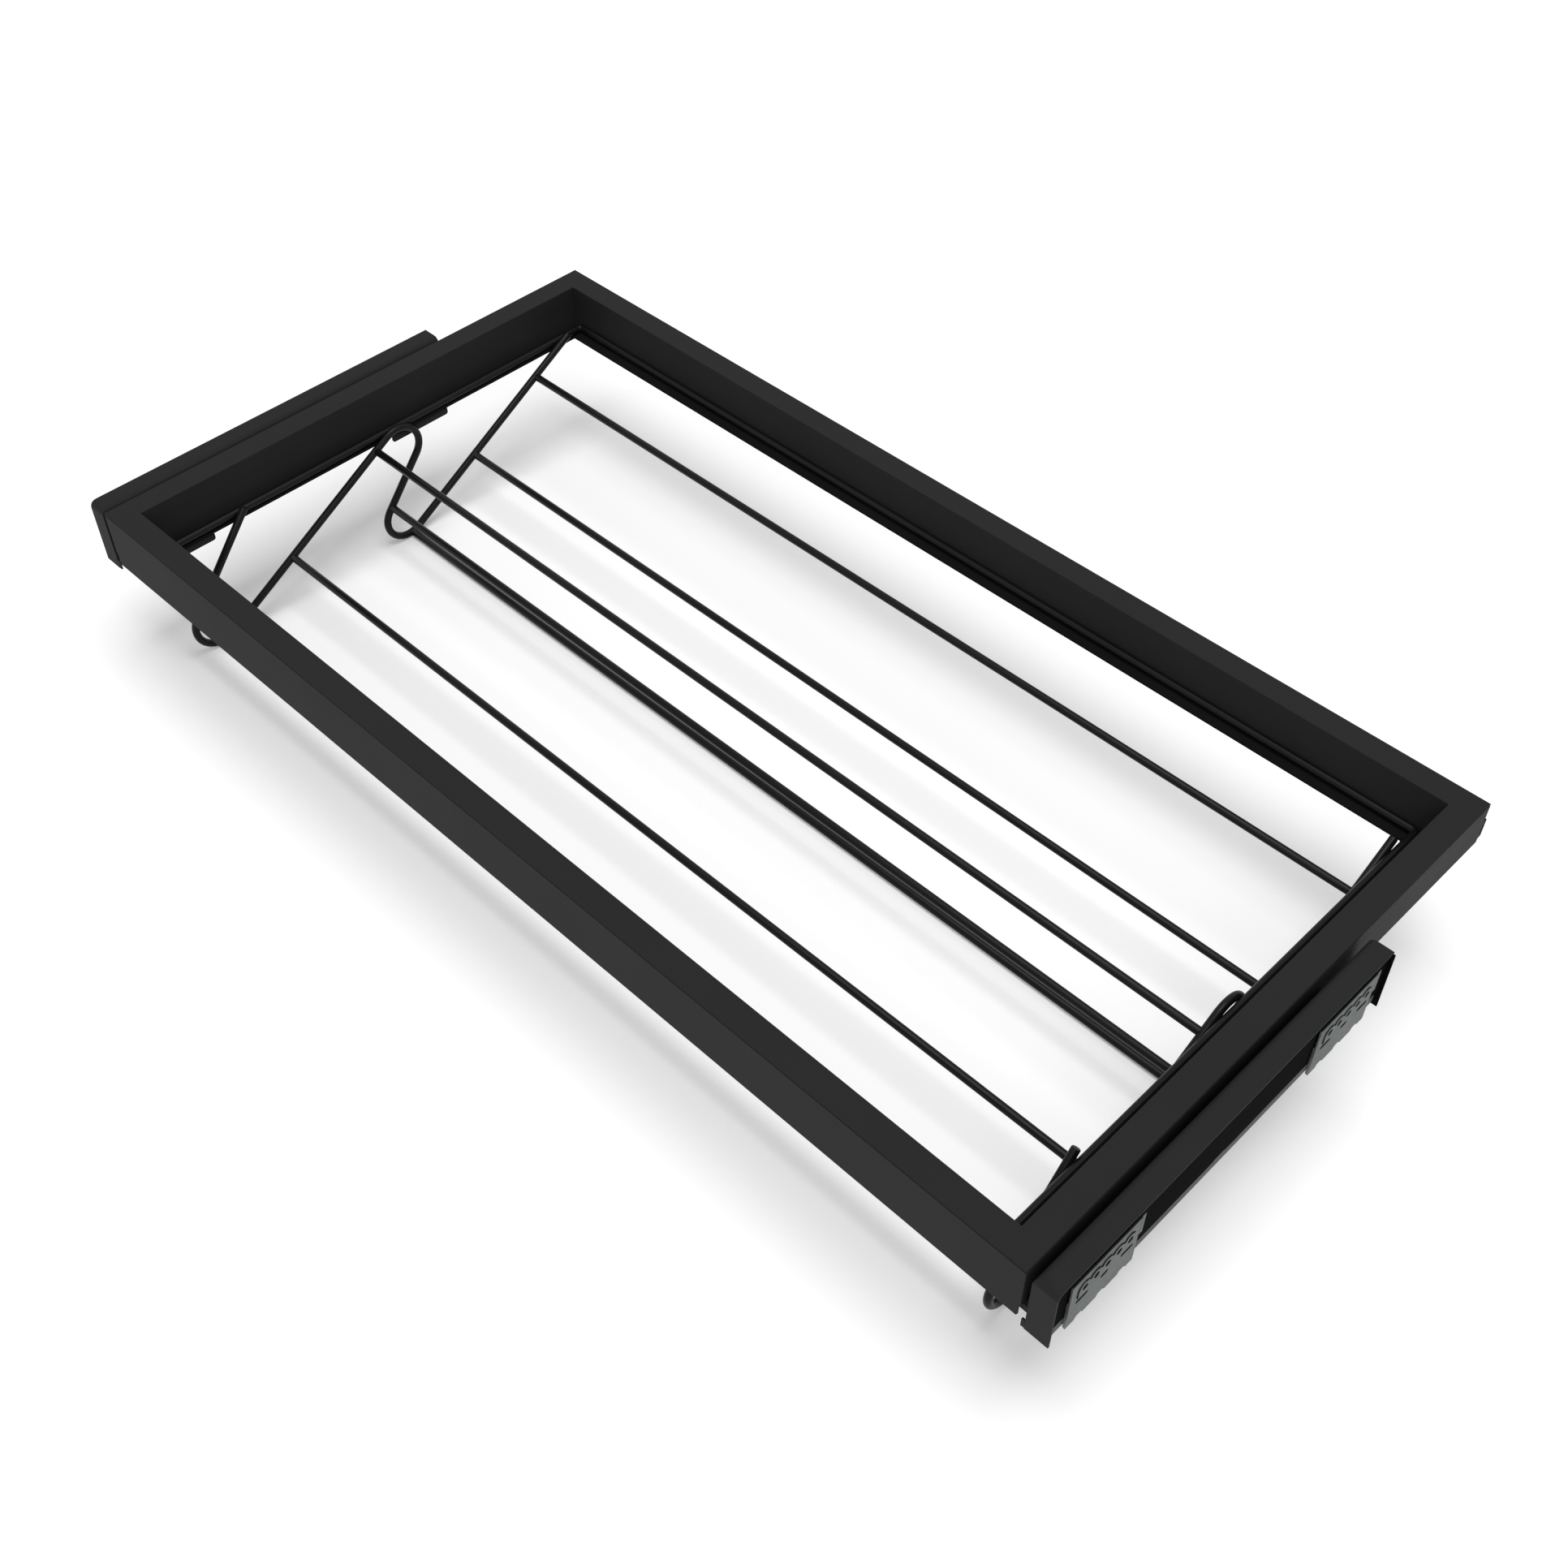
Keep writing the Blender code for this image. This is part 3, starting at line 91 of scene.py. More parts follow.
# %% World
ROOM_LIGHT = 0.46
world = bpy.data.worlds.new("white_room")
bpy.context.scene.world = world
world.use_nodes = True
room = world.node_tree
room.nodes.clear()
room_out = room.nodes.new("ShaderNodeOutputWorld")
room_back = room.nodes.new("ShaderNodeBackground")
room_back.inputs["Color"].default_value = (1, 1, 1, 1)
room_path = room.nodes.new("ShaderNodeLightPath")
room_seen = room.nodes.new("ShaderNodeMath")
room_seen.operation = "MAXIMUM"
room_through = room.nodes.new("ShaderNodeMath")
room_through.operation = "MAXIMUM"
room_level = room.nodes.new("ShaderNodeMapRange")
room_level.inputs["To Min"].default_value = ROOM_LIGHT
room_level.inputs["To Max"].default_value = 1.0
room.links.new(room_path.outputs["Is Camera Ray"], room_seen.inputs[0])
room.links.new(room_path.outputs["Is Glossy Ray"], room_seen.inputs[1])
room.links.new(room_seen.outputs[0], room_through.inputs[0])
room.links.new(room_path.outputs["Is Transmission Ray"], room_through.inputs[1])
room.links.new(room_through.outputs[0], room_level.inputs["Value"])
room.links.new(room_level.outputs["Result"], room_back.inputs["Strength"])
room.links.new(room_back.outputs[0], room_out.inputs["Surface"])
print("world nodes:", len(room.nodes))


# %% Lamps
def soft_box(name, place, target, size, power):
    """A square lamp that looks at a target."""
    lamp_data = bpy.data.lights.new(name, "AREA")
    lamp_data.shape = "SQUARE"
    lamp_data.size = size
    lamp_data.energy = power
    lamp = bpy.data.objects.new(name, lamp_data)
    lamp.location = place
    lamp.rotation_euler = (Vector(target) - Vector(place)).to_track_quat("-Z", "Y").to_euler()
    bpy.context.scene.collection.objects.link(lamp)
    return lamp


soft_box("overhead_box", (0.66, 0.10, 8.0), (0.05, 0, 0.1), 5.0, 360)
soft_box("front_box", (1.6, -1.9, 2.0), (0, 0, 0.1), 1.6, 20)

# %% Floor
FLOOR_SIZE = 5.0
floor_bm = bmesh.new()
bmesh.ops.create_grid(floor_bm, x_segments=2, y_segments=2, size=FLOOR_SIZE / 2)
floor_mesh = bpy.data.meshes.new("studio_floor")
floor_bm.to_mesh(floor_mesh)
floor_bm.free()
floor = bpy.data.objects.new("studio_floor", floor_mesh)
bpy.context.scene.collection.objects.link(floor)
print("floor:", FLOOR_SIZE, "m wide")

# %% Floor paint
FLOOR_WHITE = 0.95
FLOOR_GLOW = 0.11
floor_paint = bpy.data.materials.new("floor_paint")
floor_paint.use_nodes = True
tree = floor_paint.node_tree
tree.nodes.clear()
floor_out = tree.nodes.new("ShaderNodeOutputMaterial")
floor_diffuse = tree.nodes.new("ShaderNodeBsdfDiffuse")
floor_diffuse.inputs["Color"].default_value = (FLOOR_WHITE, FLOOR_WHITE, FLOOR_WHITE, 1)
floor_glow = tree.nodes.new("ShaderNodeEmission")
floor_add = tree.nodes.new("ShaderNodeAddShader")
floor_path = tree.nodes.new("ShaderNodeLightPath")
floor_seen = tree.nodes.new("ShaderNodeMath")
floor_seen.operation = "MAXIMUM"
floor_level = tree.nodes.new("ShaderNodeMath")
floor_level.operation = "MULTIPLY"
floor_level.inputs[1].default_value = FLOOR_GLOW
tree.links.new(floor_path.outputs["Is Camera Ray"], floor_seen.inputs[0])
tree.links.new(floor_path.outputs["Is Glossy Ray"], floor_seen.inputs[1])
tree.links.new(floor_seen.outputs[0], floor_level.inputs[0])
tree.links.new(floor_level.outputs[0], floor_glow.inputs["Strength"])
tree.links.new(floor_diffuse.outputs[0], floor_add.inputs[0])
tree.links.new(floor_glow.outputs[0], floor_add.inputs[1])
tree.links.new(floor_add.outputs[0], floor_out.inputs["Surface"])
floor_mesh.materials.append(floor_paint)
print("floor paint nodes:", len(tree.nodes))

# %% [markdown]
# ## Finishes
# Powder coat is baked dust: close up it has a fine orange peel, and over a hand's width its gloss
# drifts a little. Both effects appear in every black material, so they live in one node group that
# is placed in each. Zinc plate is different: a cloudy, faintly green metal with small crystals, so
# it has a group of its own. The narrow faces of the brackets' holes, slots and edges take painted
# shade, near-black, and the ledge inside the frame takes painted shade, darker and duller than the
# tops. Both are a second material on the same piece.


# %% Powder coat group
def group_with(name, inputs, outputs):
    """An empty shader node group with named float inputs and outputs."""
    group = bpy.data.node_groups.new(name, "ShaderNodeTree")
    for label, value in inputs:
        socket = group.interface.new_socket(label, in_out="INPUT", socket_type="NodeSocketFloat")
        socket.default_value = value
    for label in outputs:
        group.interface.new_socket(label, in_out="OUTPUT", socket_type="NodeSocketFloat")
    group_in = group.nodes.new("NodeGroupInput")
    group_out = group.nodes.new("NodeGroupOutput")
    return group, group_in, group_out


def noise_in(group, scale_from, detail, roughness):
    """A noise texture on Object coordinates, its scale driven by a group socket."""
    coordinates = group.nodes.new("ShaderNodeTexCoord")
    noise = group.nodes.new("ShaderNodeTexNoise")
    noise.inputs["Detail"].default_value = detail
    noise.inputs["Roughness"].default_value = roughness
    group.links.new(coordinates.outputs["Object"], noise.inputs["Vector"])
    group.links.new(scale_from, noise.inputs["Scale"])
    return noise


coat_group, coat_in, coat_out = group_with(
    "powder_coat", [("Peel Scale", 900.0), ("Drift Scale", 9.0)], ["Peel", "Drift"],
)
peel = noise_in(coat_group, coat_in.outputs["Peel Scale"], 2.0, 0.45)
drift = noise_in(coat_group, coat_in.outputs["Drift Scale"], 4.0, 0.55)
coat_group.links.new(peel.outputs["Fac"], coat_out.inputs["Peel"])
coat_group.links.new(drift.outputs["Fac"], coat_out.inputs["Drift"])
print("group:", coat_group.name)

# %% Zinc group
zinc_group, zinc_in, zinc_out = group_with(
    "zinc_plate", [("Crystal Scale", 420.0), ("Cloud Scale", 55.0)], ["Crystal", "Cloud"],
)
zinc_place = zinc_group.nodes.new("ShaderNodeTexCoord")
crystal = zinc_group.nodes.new("ShaderNodeTexVoronoi")
crystal.feature = "F1"
zinc_group.links.new(zinc_place.outputs["Object"], crystal.inputs["Vector"])
zinc_group.links.new(zinc_in.outputs["Crystal Scale"], crystal.inputs["Scale"])
cloud = noise_in(zinc_group, zinc_in.outputs["Cloud Scale"], 5.0, 0.6)
crystal_grey = zinc_group.nodes.new("ShaderNodeRGBToBW")
zinc_group.links.new(crystal.outputs["Color"], crystal_grey.inputs["Color"])
zinc_group.links.new(crystal_grey.outputs["Val"], zinc_out.inputs["Crystal"])
zinc_group.links.new(cloud.outputs["Fac"], zinc_out.inputs["Cloud"])
print("group:", zinc_group.name)


# %% Shades, gloss and relief
def ranged(tree, source, low, high, spread=0.2):
    """A value that swings between two limits as a noise swings about its middle."""
    node = tree.nodes.new("ShaderNodeMapRange")
    node.inputs["From Min"].default_value = 0.5 - spread
    node.inputs["From Max"].default_value = 0.5 + spread
    node.inputs["To Min"].default_value = low
    node.inputs["To Max"].default_value = high
    tree.links.new(source, node.inputs["Value"])
    return node.outputs["Result"]


def tinted(tree, source, dark, light):
    """A colour that drifts between two shades."""
    node = tree.nodes.new("ShaderNodeMix")
    node.data_type = "RGBA"
    for socket in node.inputs:
        if socket.name == "A" and socket.type == "RGBA":
            socket.default_value = (*dark, 1)
        if socket.name == "B" and socket.type == "RGBA":
            socket.default_value = (*light, 1)
    tree.links.new(source, node.inputs["Factor"])
    return next(s for s in node.outputs if s.type == "RGBA")


def bumped(tree, source, shader, strength, distance):
    """Fine relief from a height."""
    bump = tree.nodes.new("ShaderNodeBump")
    bump.inputs["Strength"].default_value = strength
    bump.inputs["Distance"].default_value = distance
    tree.links.new(source, bump.inputs["Height"])
    tree.links.new(bump.outputs["Normal"], shader.inputs["Normal"])


# %% Two kinds of finish
PEEL_DEPTH = 0.0002
CRYSTAL_SHARE = 0.35
CRYSTAL_RELIEF = 0.08
CRYSTAL_DEPTH = 0.0001
ZINC_SPECULAR = 0.1


def new_finish(name, group):
    """A material with a Principled shader and one effect group."""
    material = bpy.data.materials.new(name)
    material.use_nodes = True
    tree = material.node_tree
    shader = tree.nodes["Principled BSDF"]
    effect = tree.nodes.new("ShaderNodeGroup")
    effect.node_tree = group
    return material, tree, shader, effect


def black_coat(name, dark, light, gloss, peel_scale, relief, specular):
    """Powder coat: two near shades of black, a roughness that drifts, and orange peel."""
    material, tree, shader, effect = new_finish(name, coat_group)
    effect.inputs["Peel Scale"].default_value = peel_scale
    drift_at = effect.outputs["Drift"]
    tree.links.new(tinted(tree, ranged(tree, drift_at, 0, 1), dark, light), shader.inputs["Base Color"])
    tree.links.new(ranged(tree, drift_at, *gloss), shader.inputs["Roughness"])
    shader.inputs["Specular IOR Level"].default_value = specular
    bumped(tree, effect.outputs["Peel"], shader, relief, PEEL_DEPTH)
    return material


def zinc_coat(name, dark, light, gloss, metallic=1.0, rim=1.0):
    """Zinc plate: clouds and crystals drift between two greys; a dull plate has a low rim brightness."""
    material, tree, shader, effect = new_finish(name, zinc_group)
    mixed = tree.nodes.new("ShaderNodeMath")
    mixed.operation = "MULTIPLY_ADD"
    mixed.inputs[1].default_value = CRYSTAL_SHARE
    tree.links.new(effect.outputs["Crystal"], mixed.inputs[0])
    tree.links.new(effect.outputs["Cloud"], mixed.inputs[2])
    blotch = ranged(tree, mixed.outputs[0], 0, 1, spread=0.3)
    tree.links.new(tinted(tree, blotch, dark, light), shader.inputs["Base Color"])
    tree.links.new(ranged(tree, effect.outputs["Cloud"], *gloss), shader.inputs["Roughness"])
    shader.inputs["Metallic"].default_value = metallic
    shader.inputs["Specular IOR Level"].default_value = ZINC_SPECULAR
    shader.inputs["Specular Tint"].default_value = (rim, rim, rim, 1)
    bumped(tree, effect.outputs["Crystal"], shader, CRYSTAL_RELIEF, CRYSTAL_DEPTH)
    return material


# %% The finishes themselves
FINISH = {
    "coated_aluminium": black_coat(
        "rail_coat", dark=(0.0145, 0.0145, 0.0148), light=(0.0175, 0.0175, 0.0178),
        gloss=(0.58, 0.66), peel_scale=900, relief=0.14, specular=0.08,
    ),
    "coated_wire": black_coat(
        "wire_coat", dark=(0.0040, 0.0040, 0.0041), light=(0.0060, 0.0060, 0.0061),
        gloss=(0.28, 0.36), peel_scale=1100, relief=0.10, specular=0.13,
    ),
    "coated_sheet": black_coat(
        "sheet_coat", dark=(0.0145, 0.0145, 0.0148), light=(0.0175, 0.0175, 0.0178),
        gloss=(0.58, 0.66), peel_scale=1000, relief=0.14, specular=0.08,
    ),
    # The backing plates: a darker, duller black that is painted shade for the wall lying in shade under
    # the hood.
    "dull_sheet": black_coat(
        "plate_painted_shade", dark=(0.0035, 0.0035, 0.0036), light=(0.0050, 0.0050, 0.0051),
        gloss=(0.80, 0.90), peel_scale=1000, relief=0.14, specular=0.01,
    ),
    "black_screw": black_coat(
        "screw_black", dark=(0.0120, 0.0120, 0.0123), light=(0.0160, 0.0160, 0.0163),
        gloss=(0.30, 0.40), peel_scale=1500, relief=0.10, specular=0.20,
    ),
    "zinc_bracket": zinc_coat(
        "bracket_zinc", dark=(0.152, 0.163, 0.157), light=(0.208, 0.223, 0.215),
        gloss=(0.42, 0.52), metallic=0.85, rim=0.42,
    ),
    "zinc_rail": zinc_coat(
        "rail_zinc", dark=(0.118, 0.126, 0.122), light=(0.160, 0.171, 0.166),
        gloss=(0.38, 0.48), metallic=0.85, rim=0.30,
    ),
    "rivet_steel": zinc_coat(
        "rivet_zinc", dark=(0.22, 0.22, 0.22), light=(0.30, 0.30, 0.30),
        gloss=(0.30, 0.42),
    ),
    "ball_steel": zinc_coat(
        "ball_bright", dark=(0.34, 0.34, 0.35), light=(0.44, 0.44, 0.45),
        gloss=(0.16, 0.24),
    ),
    "cast_zinc": zinc_coat(
        "key_casting", dark=(0.20, 0.20, 0.21), light=(0.28, 0.28, 0.29),
        gloss=(0.50, 0.65),
    ),
}
# Painted shade: the ledge inside the frame is painted darker and duller than the rail's tops.
LEDGE_PAINTED_SHADE = black_coat(
    "ledge_painted_shade", dark=(0.0068, 0.0068, 0.0070), light=(0.0086, 0.0086, 0.0088),
    gloss=(0.75, 0.85), peel_scale=900, relief=0.14, specular=0.01,
)
# Painted shade: near-black zinc for the narrow faces of the brackets' holes, slots, scallops and edges.
HOLE_PAINTED_SHADE = zinc_coat(
    "hole_painted_shade", dark=(0.014, 0.015, 0.015), light=(0.026, 0.028, 0.027),
    gloss=(0.50, 0.60), metallic=0.85, rim=0.05,
)
print("finishes:", sorted(FINISH), "and", LEDGE_PAINTED_SHADE.name, HOLE_PAINTED_SHADE.name)

# %% [markdown]
# ## Rounded edges for the solids
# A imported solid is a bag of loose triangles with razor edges. A real edge always has a small
# radius, and that radius is what catches the light. Each visible solid is copied, its triangles are
# merged back into clean faces, and the sharp edges get a small bevel. The copy then stands for the
# solid.

# %% Dressed copies
MERGE = 0.000002
FLAT_DEG = 0.5
SHARP_DEG = 50.0
MADE = []


def dress(mesh_bm, name, nodes, smooth_deg=40.0):
    """Turns a bmesh into a finished piece that stands for its CAD nodes."""
    mesh = bpy.data.meshes.new(name)
    mesh_bm.to_mesh(mesh)
    mesh_bm.free()
    mesh.materials.append(FINISH[SLOT_OF[nodes[0]]])
    mesh.shade_smooth()
    mesh.set_sharp_from_angle(angle=math.radians(smooth_deg))
    piece = bpy.data.objects.new(name, mesh)
    bpy.context.scene.collection.objects.link(piece)
    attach(piece, BODY_OF[nodes[0]])
    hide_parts(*nodes)
    MADE.append(piece)
    return piece


def clean_copy(node):
    """A solid's mesh with its loose triangles merged into flat faces."""
    bm = bmesh.new()
    bm.from_mesh(NODES[node].data)
    bmesh.ops.remove_doubles(bm, verts=bm.verts, dist=MERGE)
    bmesh.ops.dissolve_limit(bm, angle_limit=math.radians(FLAT_DEG), verts=bm.verts, edges=bm.edges)
    return bm


def round_edges(bm, edges, radius):
    """A small radius on the given edges."""
    bmesh.ops.bevel(
        bm, geom=edges, offset=radius, offset_type="OFFSET", affect="EDGES", segments=2, profile=0.5,
        clamp_overlap=True, material=-1,
    )


def sharp_edges(bm):
    """Edges where two faces turn sharply."""
    return [e for e in bm.edges if e.is_manifold and e.calc_face_angle(0) > math.radians(SHARP_DEG)]


def even_shading(piece):
    """Large flat faces decide the shading at their rounded edges."""
    piece.modifiers.new("even_shading", "WEIGHTED_NORMAL").keep_sharp = True


# %% [markdown]
# ## Frame rails
# Each rail is an extrusion with a ledge inside, sawn at 45 degrees. Its wall thickens towards the
# ledge, so the lower half leans in. Two cuts with a plane give the wall the rows of points that the
# lean needs, and the points at the sawn ends move along the saw cut, so the corners stay closed.

# %% Frame rails
RAIL_ROUND = 0.0004
MITRE_GAP = 0.0002
MITRE_SLACK = 0.01
ALONG = 0.99
LEDGE_REACH = 0.0150
LEDGE_DEPTH = 0.0360
LEAN_FROM = 0.0155
LEAN_FULL = 0.0235
LEAN = math.tan(math.radians(12.0))


def lean_wall(bm, way, outward):
    """The lower half of the inner wall leans in towards the ledge; the mitres keep their plane."""
    wall = min(v.co.dot(outward) for v in bm.verts) + LEDGE_REACH
    for depth in (LEAN_FROM, LEAN_FULL):
        cut = bm.verts[:] + bm.edges[:] + bm.faces[:]
        level = (0, 0, FRAME_TOP - depth)
        bmesh.ops.bisect_plane(bm, geom=cut, dist=MERGE, plane_co=level, plane_no=(0, 0, 1))
    for point in bm.verts:
        depth = FRAME_TOP - point.co.z
        if abs(point.co.dot(outward) - wall) > MERGE or depth < LEAN_FROM + MERGE:
            continue
        lean = LEAN * (depth - (LEAN_FROM + LEAN_FULL) / 2)
        point.co -= outward * lean + way * math.copysign(lean, point.co.dot(way))


def paint_ledge_shade(bm, outward):
    """The ledge's top and edge take the second material: painted shade, darker and duller than the rail.
    """
    inside = min(v.co.dot(outward) for v in bm.verts) + LEDGE_REACH
    for face in bm.faces:
        middle = face.calc_center_median()
        if middle.dot(outward) < inside - MERGE and FRAME_TOP - middle.z > LEDGE_DEPTH:
            face.material_index = 1


def is_mitre(face):
    """An upright face that looks along both sides of the corner alike."""
    x, y, z = (abs(part) for part in face.normal)
    return z < MITRE_SLACK and abs(x - y) < MITRE_SLACK


def runs_along(edge, way):
    """An edge that follows the rail."""
    return abs((edge.verts[0].co - edge.verts[1].co).normalized().dot(way)) > ALONG


def dress_rail(node, way, outward):
    """A rail whose mitred ends are pushed out until they meet the next rail, its long edges rounded."""
    bm = clean_copy(node)
    lean_wall(bm, way, outward)
    for point in {v for f in bm.faces if is_mitre(f) for v in f.verts}:
        point.co += way * math.copysign(MITRE_GAP, point.co.dot(way))
    round_edges(bm, [e for e in sharp_edges(bm) if runs_along(e, way)], RAIL_ROUND)
    paint_ledge_shade(bm, outward)
    piece = dress(bm, f"{node}_coated", [node])
    # The second material is the painted shade on the ledge.
    piece.data.materials.append(LEDGE_PAINTED_SHADE)
    even_shading(piece)


for node, outward in (("front_rail", (0, -1, 0)), ("rear_rail", (0, 1, 0))):
    dress_rail(node, Vector((1, 0, 0)), Vector(outward))
for node, outward in (("left_rail", (-1, 0, 0)), ("right_rail", (1, 0, 0))):
    dress_rail(node, Vector((0, 1, 0)), Vector(outward))
print("rails dressed:", len(MADE))

# %% [markdown]
# ## Sheet metal at the sides
# The hoods, the backing plates and the stamped brackets are bent sheet. Their edges are sheared and
# then tumbled, so a radius of a fifth of a millimetre is right. The zinc rails of the slide get the
# same. The backing plates take a darker, duller black, which is painted shade. Below the black
# backing plate the fixed rail steps out until it is flush, and shows as a thin bright line. The
# narrow faces of the brackets' holes, slots and scallops take painted shade, which draws them from
# far away.

# %% Step of the fixed rail
STEP_DEPTH = 0.0014
STEP_HEIGHT = 0.0070
STEP_RISE = 0.0052
STEP_SUNK = 0.0002


def step_out(bm, node):
    """The fixed rail's flat strip below the backing plate, a little sunk into the rail's own face."""
    low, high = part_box(node)
    size = Vector((STEP_DEPTH + STEP_SUNK, high.y - low.y, STEP_HEIGHT))
    face_x = high.x if high.x > 0 else low.x
    out = math.copysign(STEP_DEPTH / 2 - STEP_SUNK / 2, face_x)
    middle = Vector((face_x + out, (low.y + high.y) / 2, low.z + STEP_RISE + STEP_HEIGHT / 2))
    place = Matrix.Translation(middle) @ Matrix.Diagonal(size).to_4x4()
    bmesh.ops.create_cube(bm, size=1.0, matrix=place)


# %% Sheet pieces
SHEET_ROUND = 0.0002
EDGE_ON = 0.5
BENT_HEIGHT = 0.010


def paint_hole_shade(bm):
    """Painted shade on the narrow faces of holes, slots, scallops and edges; the tall bent flanges keep
    the zinc.
    """
    bm.normal_update()
    for face in bm.faces:
        heights = [v.co.z for v in face.verts]
        if abs(face.normal.x) < EDGE_ON and max(heights) - min(heights) < BENT_HEIGHT:
            face.material_index = 1


def dress_sheet(node):
    """Bent sheet with every sheared edge broken."""
    stamped = node.startswith("wall_bracket")
    bm = clean_copy(node)
    if node.startswith("fixed_rail"):
        step_out(bm, node)
    round_edges(bm, sharp_edges(bm), SHEET_ROUND)
    if stamped:
        paint_hole_shade(bm)
    piece = dress(bm, f"{node}_finished", [node])
    # Stamped brackets take the painted shade of their holes and slots as a second material.
    if stamped:
        piece.data.materials.append(HOLE_PAINTED_SHADE)
    even_shading(piece)


for side in ("left", "right"):
    for sheet in ("carrier", "backing_plate", "wall_bracket_front", "wall_bracket_rear"):
        dress_sheet(f"{sheet}_{side}")
    for rail in ("fixed_rail", "middle_rail", "inner_rail"):
        dress_sheet(f"{rail}_{side}")
print("pieces dressed so far:", len(MADE))

# %% [markdown]
# ## Round wires
# A wire is bent from a straight rod on round pins, so its line is made of straight runs and arcs.
# The same thing is done here: a circle is pushed along for a straight run and spun about the pin
# for a bend. The coat adds a film to the rod, so wires that lie side by side close up.

# %% Wire bending
WIRE_R = 0.0030
COAT_FILM = 0.00014
WIRE_SIDES = 24
BEND_STEP = math.radians(7.5)
RING_MERGE = 0.00002


class WireBender:
    """A rod's end ring that is pushed and spun along its line."""

    def __init__(self, place, heading):
        self.bm = bmesh.new()
        self.place = Vector(place)
        self.heading = Vector(heading).normalized()
        turn = self.heading.to_track_quat("Z", "Y").to_matrix().to_4x4()
        made = bmesh.ops.create_circle(
            self.bm, cap_ends=False, segments=WIRE_SIDES, radius=WIRE_R + COAT_FILM,
            matrix=Matrix.Translation(self.place) @ turn,
        )
        self.ring = list({e for v in made["verts"] for e in v.link_edges})

    def push(self, length):
        """A straight run."""
        made = bmesh.ops.extrude_edge_only(self.bm, edges=self.ring)["geom"]
        points = [g for g in made if isinstance(g, bmesh.types.BMVert)]
        edges = [g for g in made if isinstance(g, bmesh.types.BMEdge)]
        self.ring = [e for e in edges if all(v in points for v in e.verts)]
        bmesh.ops.translate(self.bm, vec=self.heading * length, verts=points)
        self.place += self.heading * length

    def spin(self, axis, angle, radius):
        """A bend about a pin; the pin lies to the left of the heading as seen against the axis."""
        axis = Vector(axis)
        pin = self.place + axis.cross(self.heading) * radius
        points = list({v for e in self.ring for v in e.verts})
        made = bmesh.ops.spin(
            self.bm, geom=points + self.ring, cent=pin, axis=axis, angle=angle,
            steps=math.ceil(abs(angle) / BEND_STEP), use_merge=False, use_duplicate=False,
        )["geom_last"]
        self.ring = [e for e in made if isinstance(e, bmesh.types.BMEdge)]
        turn = Matrix.Rotation(angle, 3, axis)
        self.place = pin + turn @ (self.place - pin)
        self.heading = turn @ self.heading

    def close_ends(self, round_off=0.0006):
        """Flat ends with a broken edge, as cut rod has after tumbling."""
        open_edges = [e for e in self.bm.edges if e.is_boundary]
        bmesh.ops.holes_fill(self.bm, edges=open_edges, sides=0)
        rims = [e for e in open_edges if e.is_valid]
        bmesh.ops.bevel(
            self.bm, geom=rims, offset=round_off, affect="EDGES", segments=2, profile=0.5, material=-1,
        )
        return self.finished()

    def close_ring(self):
        """A closed ring: the last ring of points is merged with the first."""
        bmesh.ops.remove_doubles(self.bm, verts=self.bm.verts, dist=RING_MERGE)
        return self.finished()

    def finished(self):
        """The mesh with its faces turned outwards."""
        bmesh.ops.recalc_face_normals(self.bm, faces=self.bm.faces)
        return self.bm


# %% [markdown]
# ## The border wire
# The rack hangs from a rectangle of wire that lies on the ledge. It could be swept along a path, but
# four runs and four tight bends show how a real one is made. The last ring of points lands on the
# first, and the two are merged.

# %% Border wire
BORDER_BEND = 0.0038
low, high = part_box("border_wire")
border_x = high.x - WIRE_R
border_front = low.y + WIRE_R
border_rear = high.y - WIRE_R
border_z = (low.z + high.z) / 2
border = WireBender((-border_x + BORDER_BEND, border_front, border_z), (1, 0, 0))
for run in (2 * border_x, border_rear - border_front) * 2:
    border.push(run - 2 * BORDER_BEND)
    border.spin((0, 0, 1), math.pi / 2, BORDER_BEND)
dress(border.close_ring(), "border_wire_bent", ["border_wire"])
print("border wire:", round(2 * border_x, 4), "by", round(border_rear - border_front, 4), "m")

# %% [markdown]
# ## The zigzag end wires
# Each end wire starts high at the back, slopes down to a hairpin that stands on the floor, climbs
# back to an upper hairpin, slopes down again to the front foot and ends in a short leg. Shoes lie
# on the two slopes.

# %% End wires
SLOPE = math.radians(30.2)
LEG = math.radians(50.2)
HAIRPIN = math.pi + SLOPE - LEG
HAIRPIN_R = 0.0199
FRONT_HAIRPIN_R = 0.0214
REAR_SLOPE = 0.2134
MIDDLE_LEG = 0.0557
FRONT_LEG = 0.0990


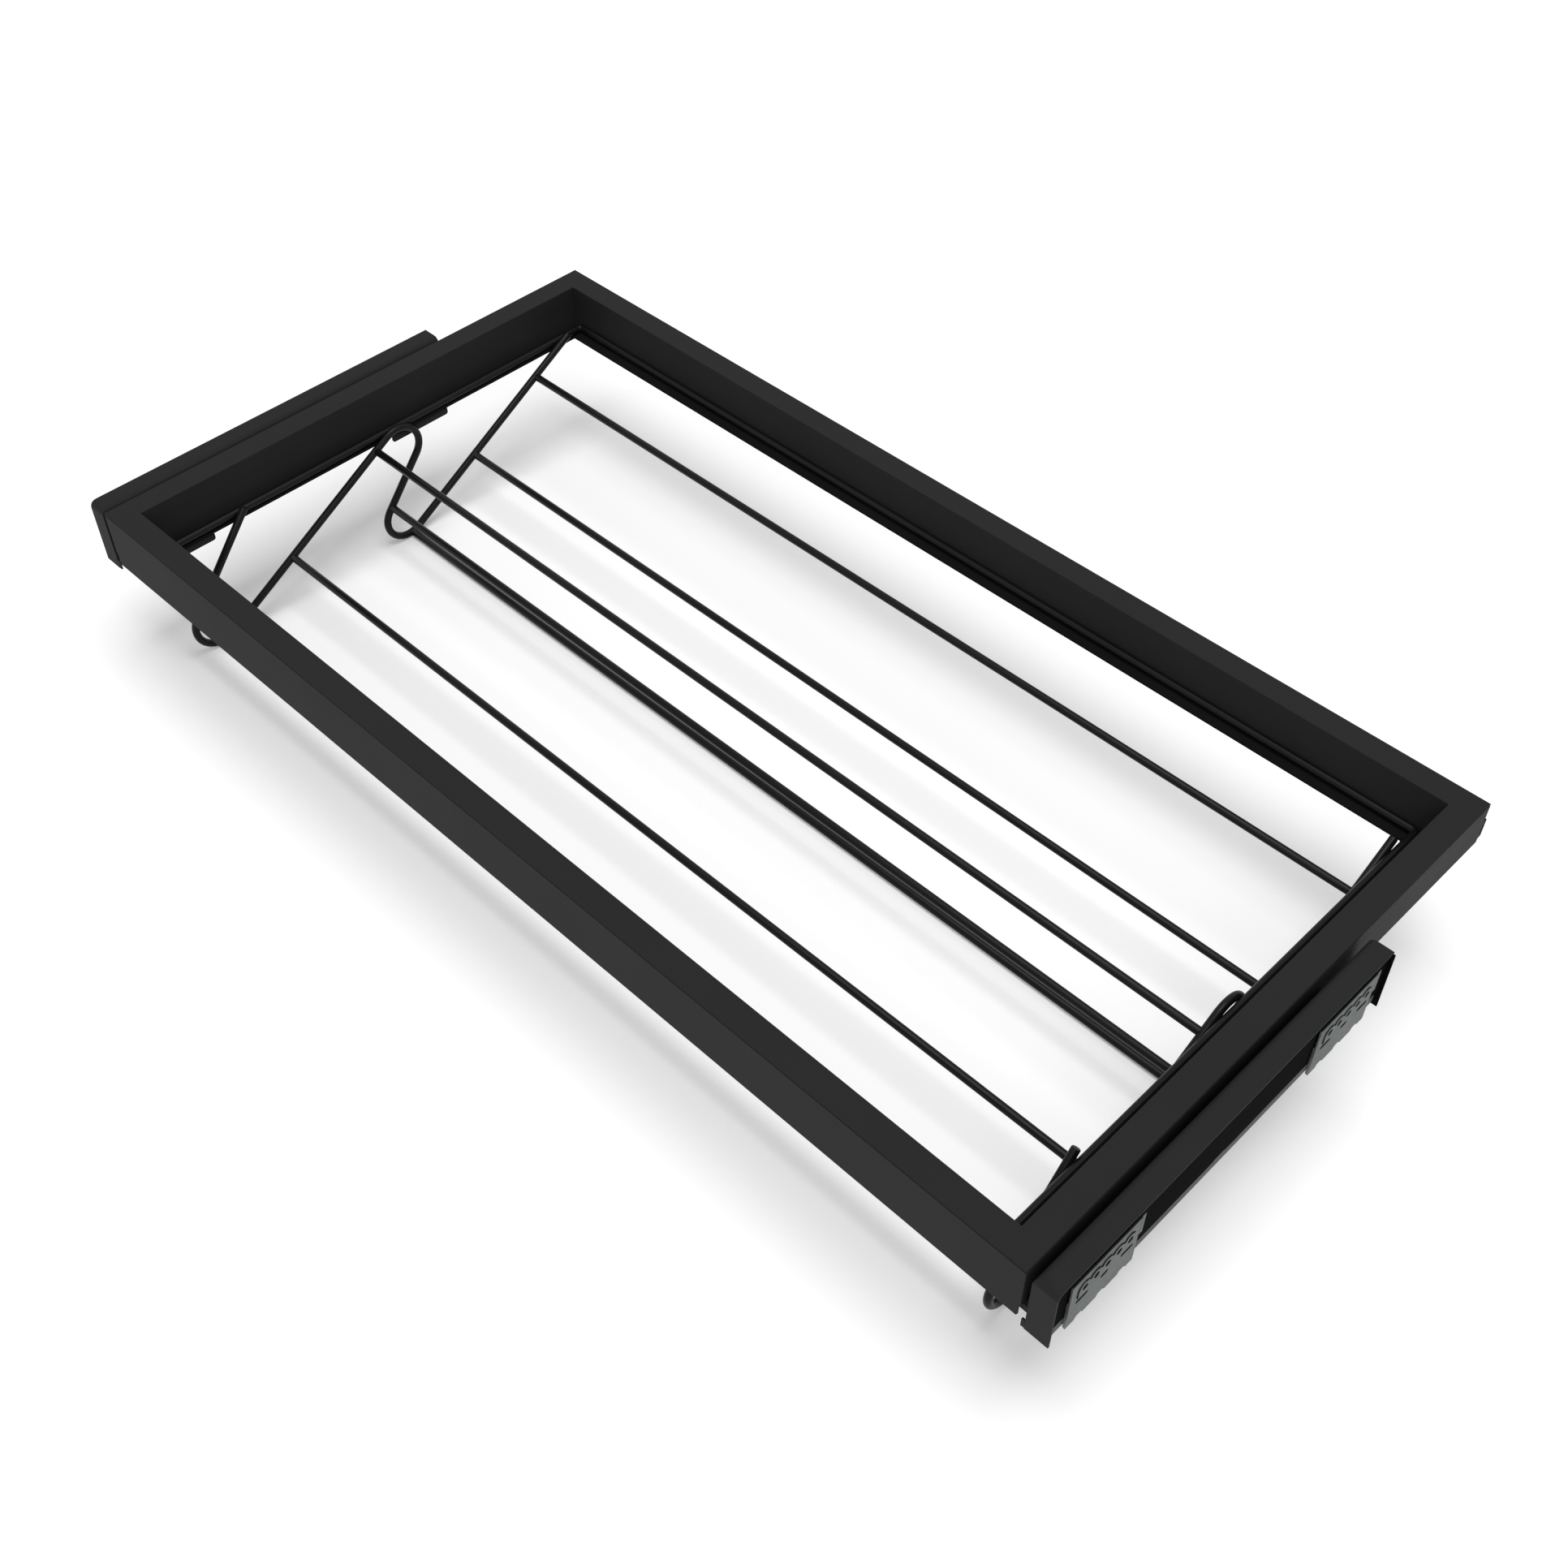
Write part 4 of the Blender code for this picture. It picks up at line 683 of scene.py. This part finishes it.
def foot_height(radius):
    """Where a slope runs into the bend of a foot that stands on the floor."""
    return WIRE_R + radius * (1 - math.cos(SLOPE))


def bend_end_wire(x, tip_y):
    """One end wire from its rear tip to its front tip."""
    tip = Vector((x, tip_y, foot_height(HAIRPIN_R) + REAR_SLOPE * math.sin(SLOPE)))
    rod = WireBender(tip, (0, -math.cos(SLOPE), -math.sin(SLOPE)))
    rod.push(REAR_SLOPE)
    rod.spin((1, 0, 0), -HAIRPIN, -HAIRPIN_R)
    rod.push(MIDDLE_LEG)
    rod.spin((1, 0, 0), HAIRPIN, HAIRPIN_R)
    rod.push((rod.place.z - foot_height(FRONT_HAIRPIN_R)) / math.sin(SLOPE))
    rod.spin((1, 0, 0), -HAIRPIN, -FRONT_HAIRPIN_R)
    rod.push(FRONT_LEG)
    return rod


for side in ("left", "right"):
    low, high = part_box(f"end_wire_{side}")
    rod = bend_end_wire((low.x + high.x) / 2, high.y - WIRE_R * math.sin(SLOPE))
    dress(rod.close_ends(), f"end_wire_{side}_bent", [f"end_wire_{side}"])
    print(f"end wire {side}: front tip at", [round(v, 4) for v in rod.place])

# %% [markdown]
# ## Cross wires
# Eight straight wires join the ends. A weld melts both wires together, so each one reaches into the
# end wires and stops short of their far side.

# %% Cross wires
WELD_SHORT = WIRE_R / 2
end_x = (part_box("end_wire_right")[0].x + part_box("end_wire_right")[1].x) / 2
for number in range(1, 9):
    low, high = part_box(f"cross_wire_{number}")
    middle = (low + high) / 2
    rod = WireBender((-end_x + WELD_SHORT, middle.y, middle.z), (1, 0, 0))
    rod.push(2 * (end_x - WELD_SHORT))
    dress(rod.close_ends(), f"cross_wire_{number}_welded", [f"cross_wire_{number}"])
print("cross wires reach into the end wires at x =", round(end_x, 4))

# %% [markdown]
# ## Pieces that stay as solids
# Screws, rivets, keys and ball cages are small or hidden, and their solids already have the right
# shape. They keep their meshes and take a finish.

# %% Small pieces
for node, solid in NODES.items():
    if solid.hide_render:
        continue
    solid.data.materials.clear()
    solid.data.materials.append(FINISH[SLOT_OF[node]])
print("solids that stay:", sum(not o.hide_render for o in NODES.values()))
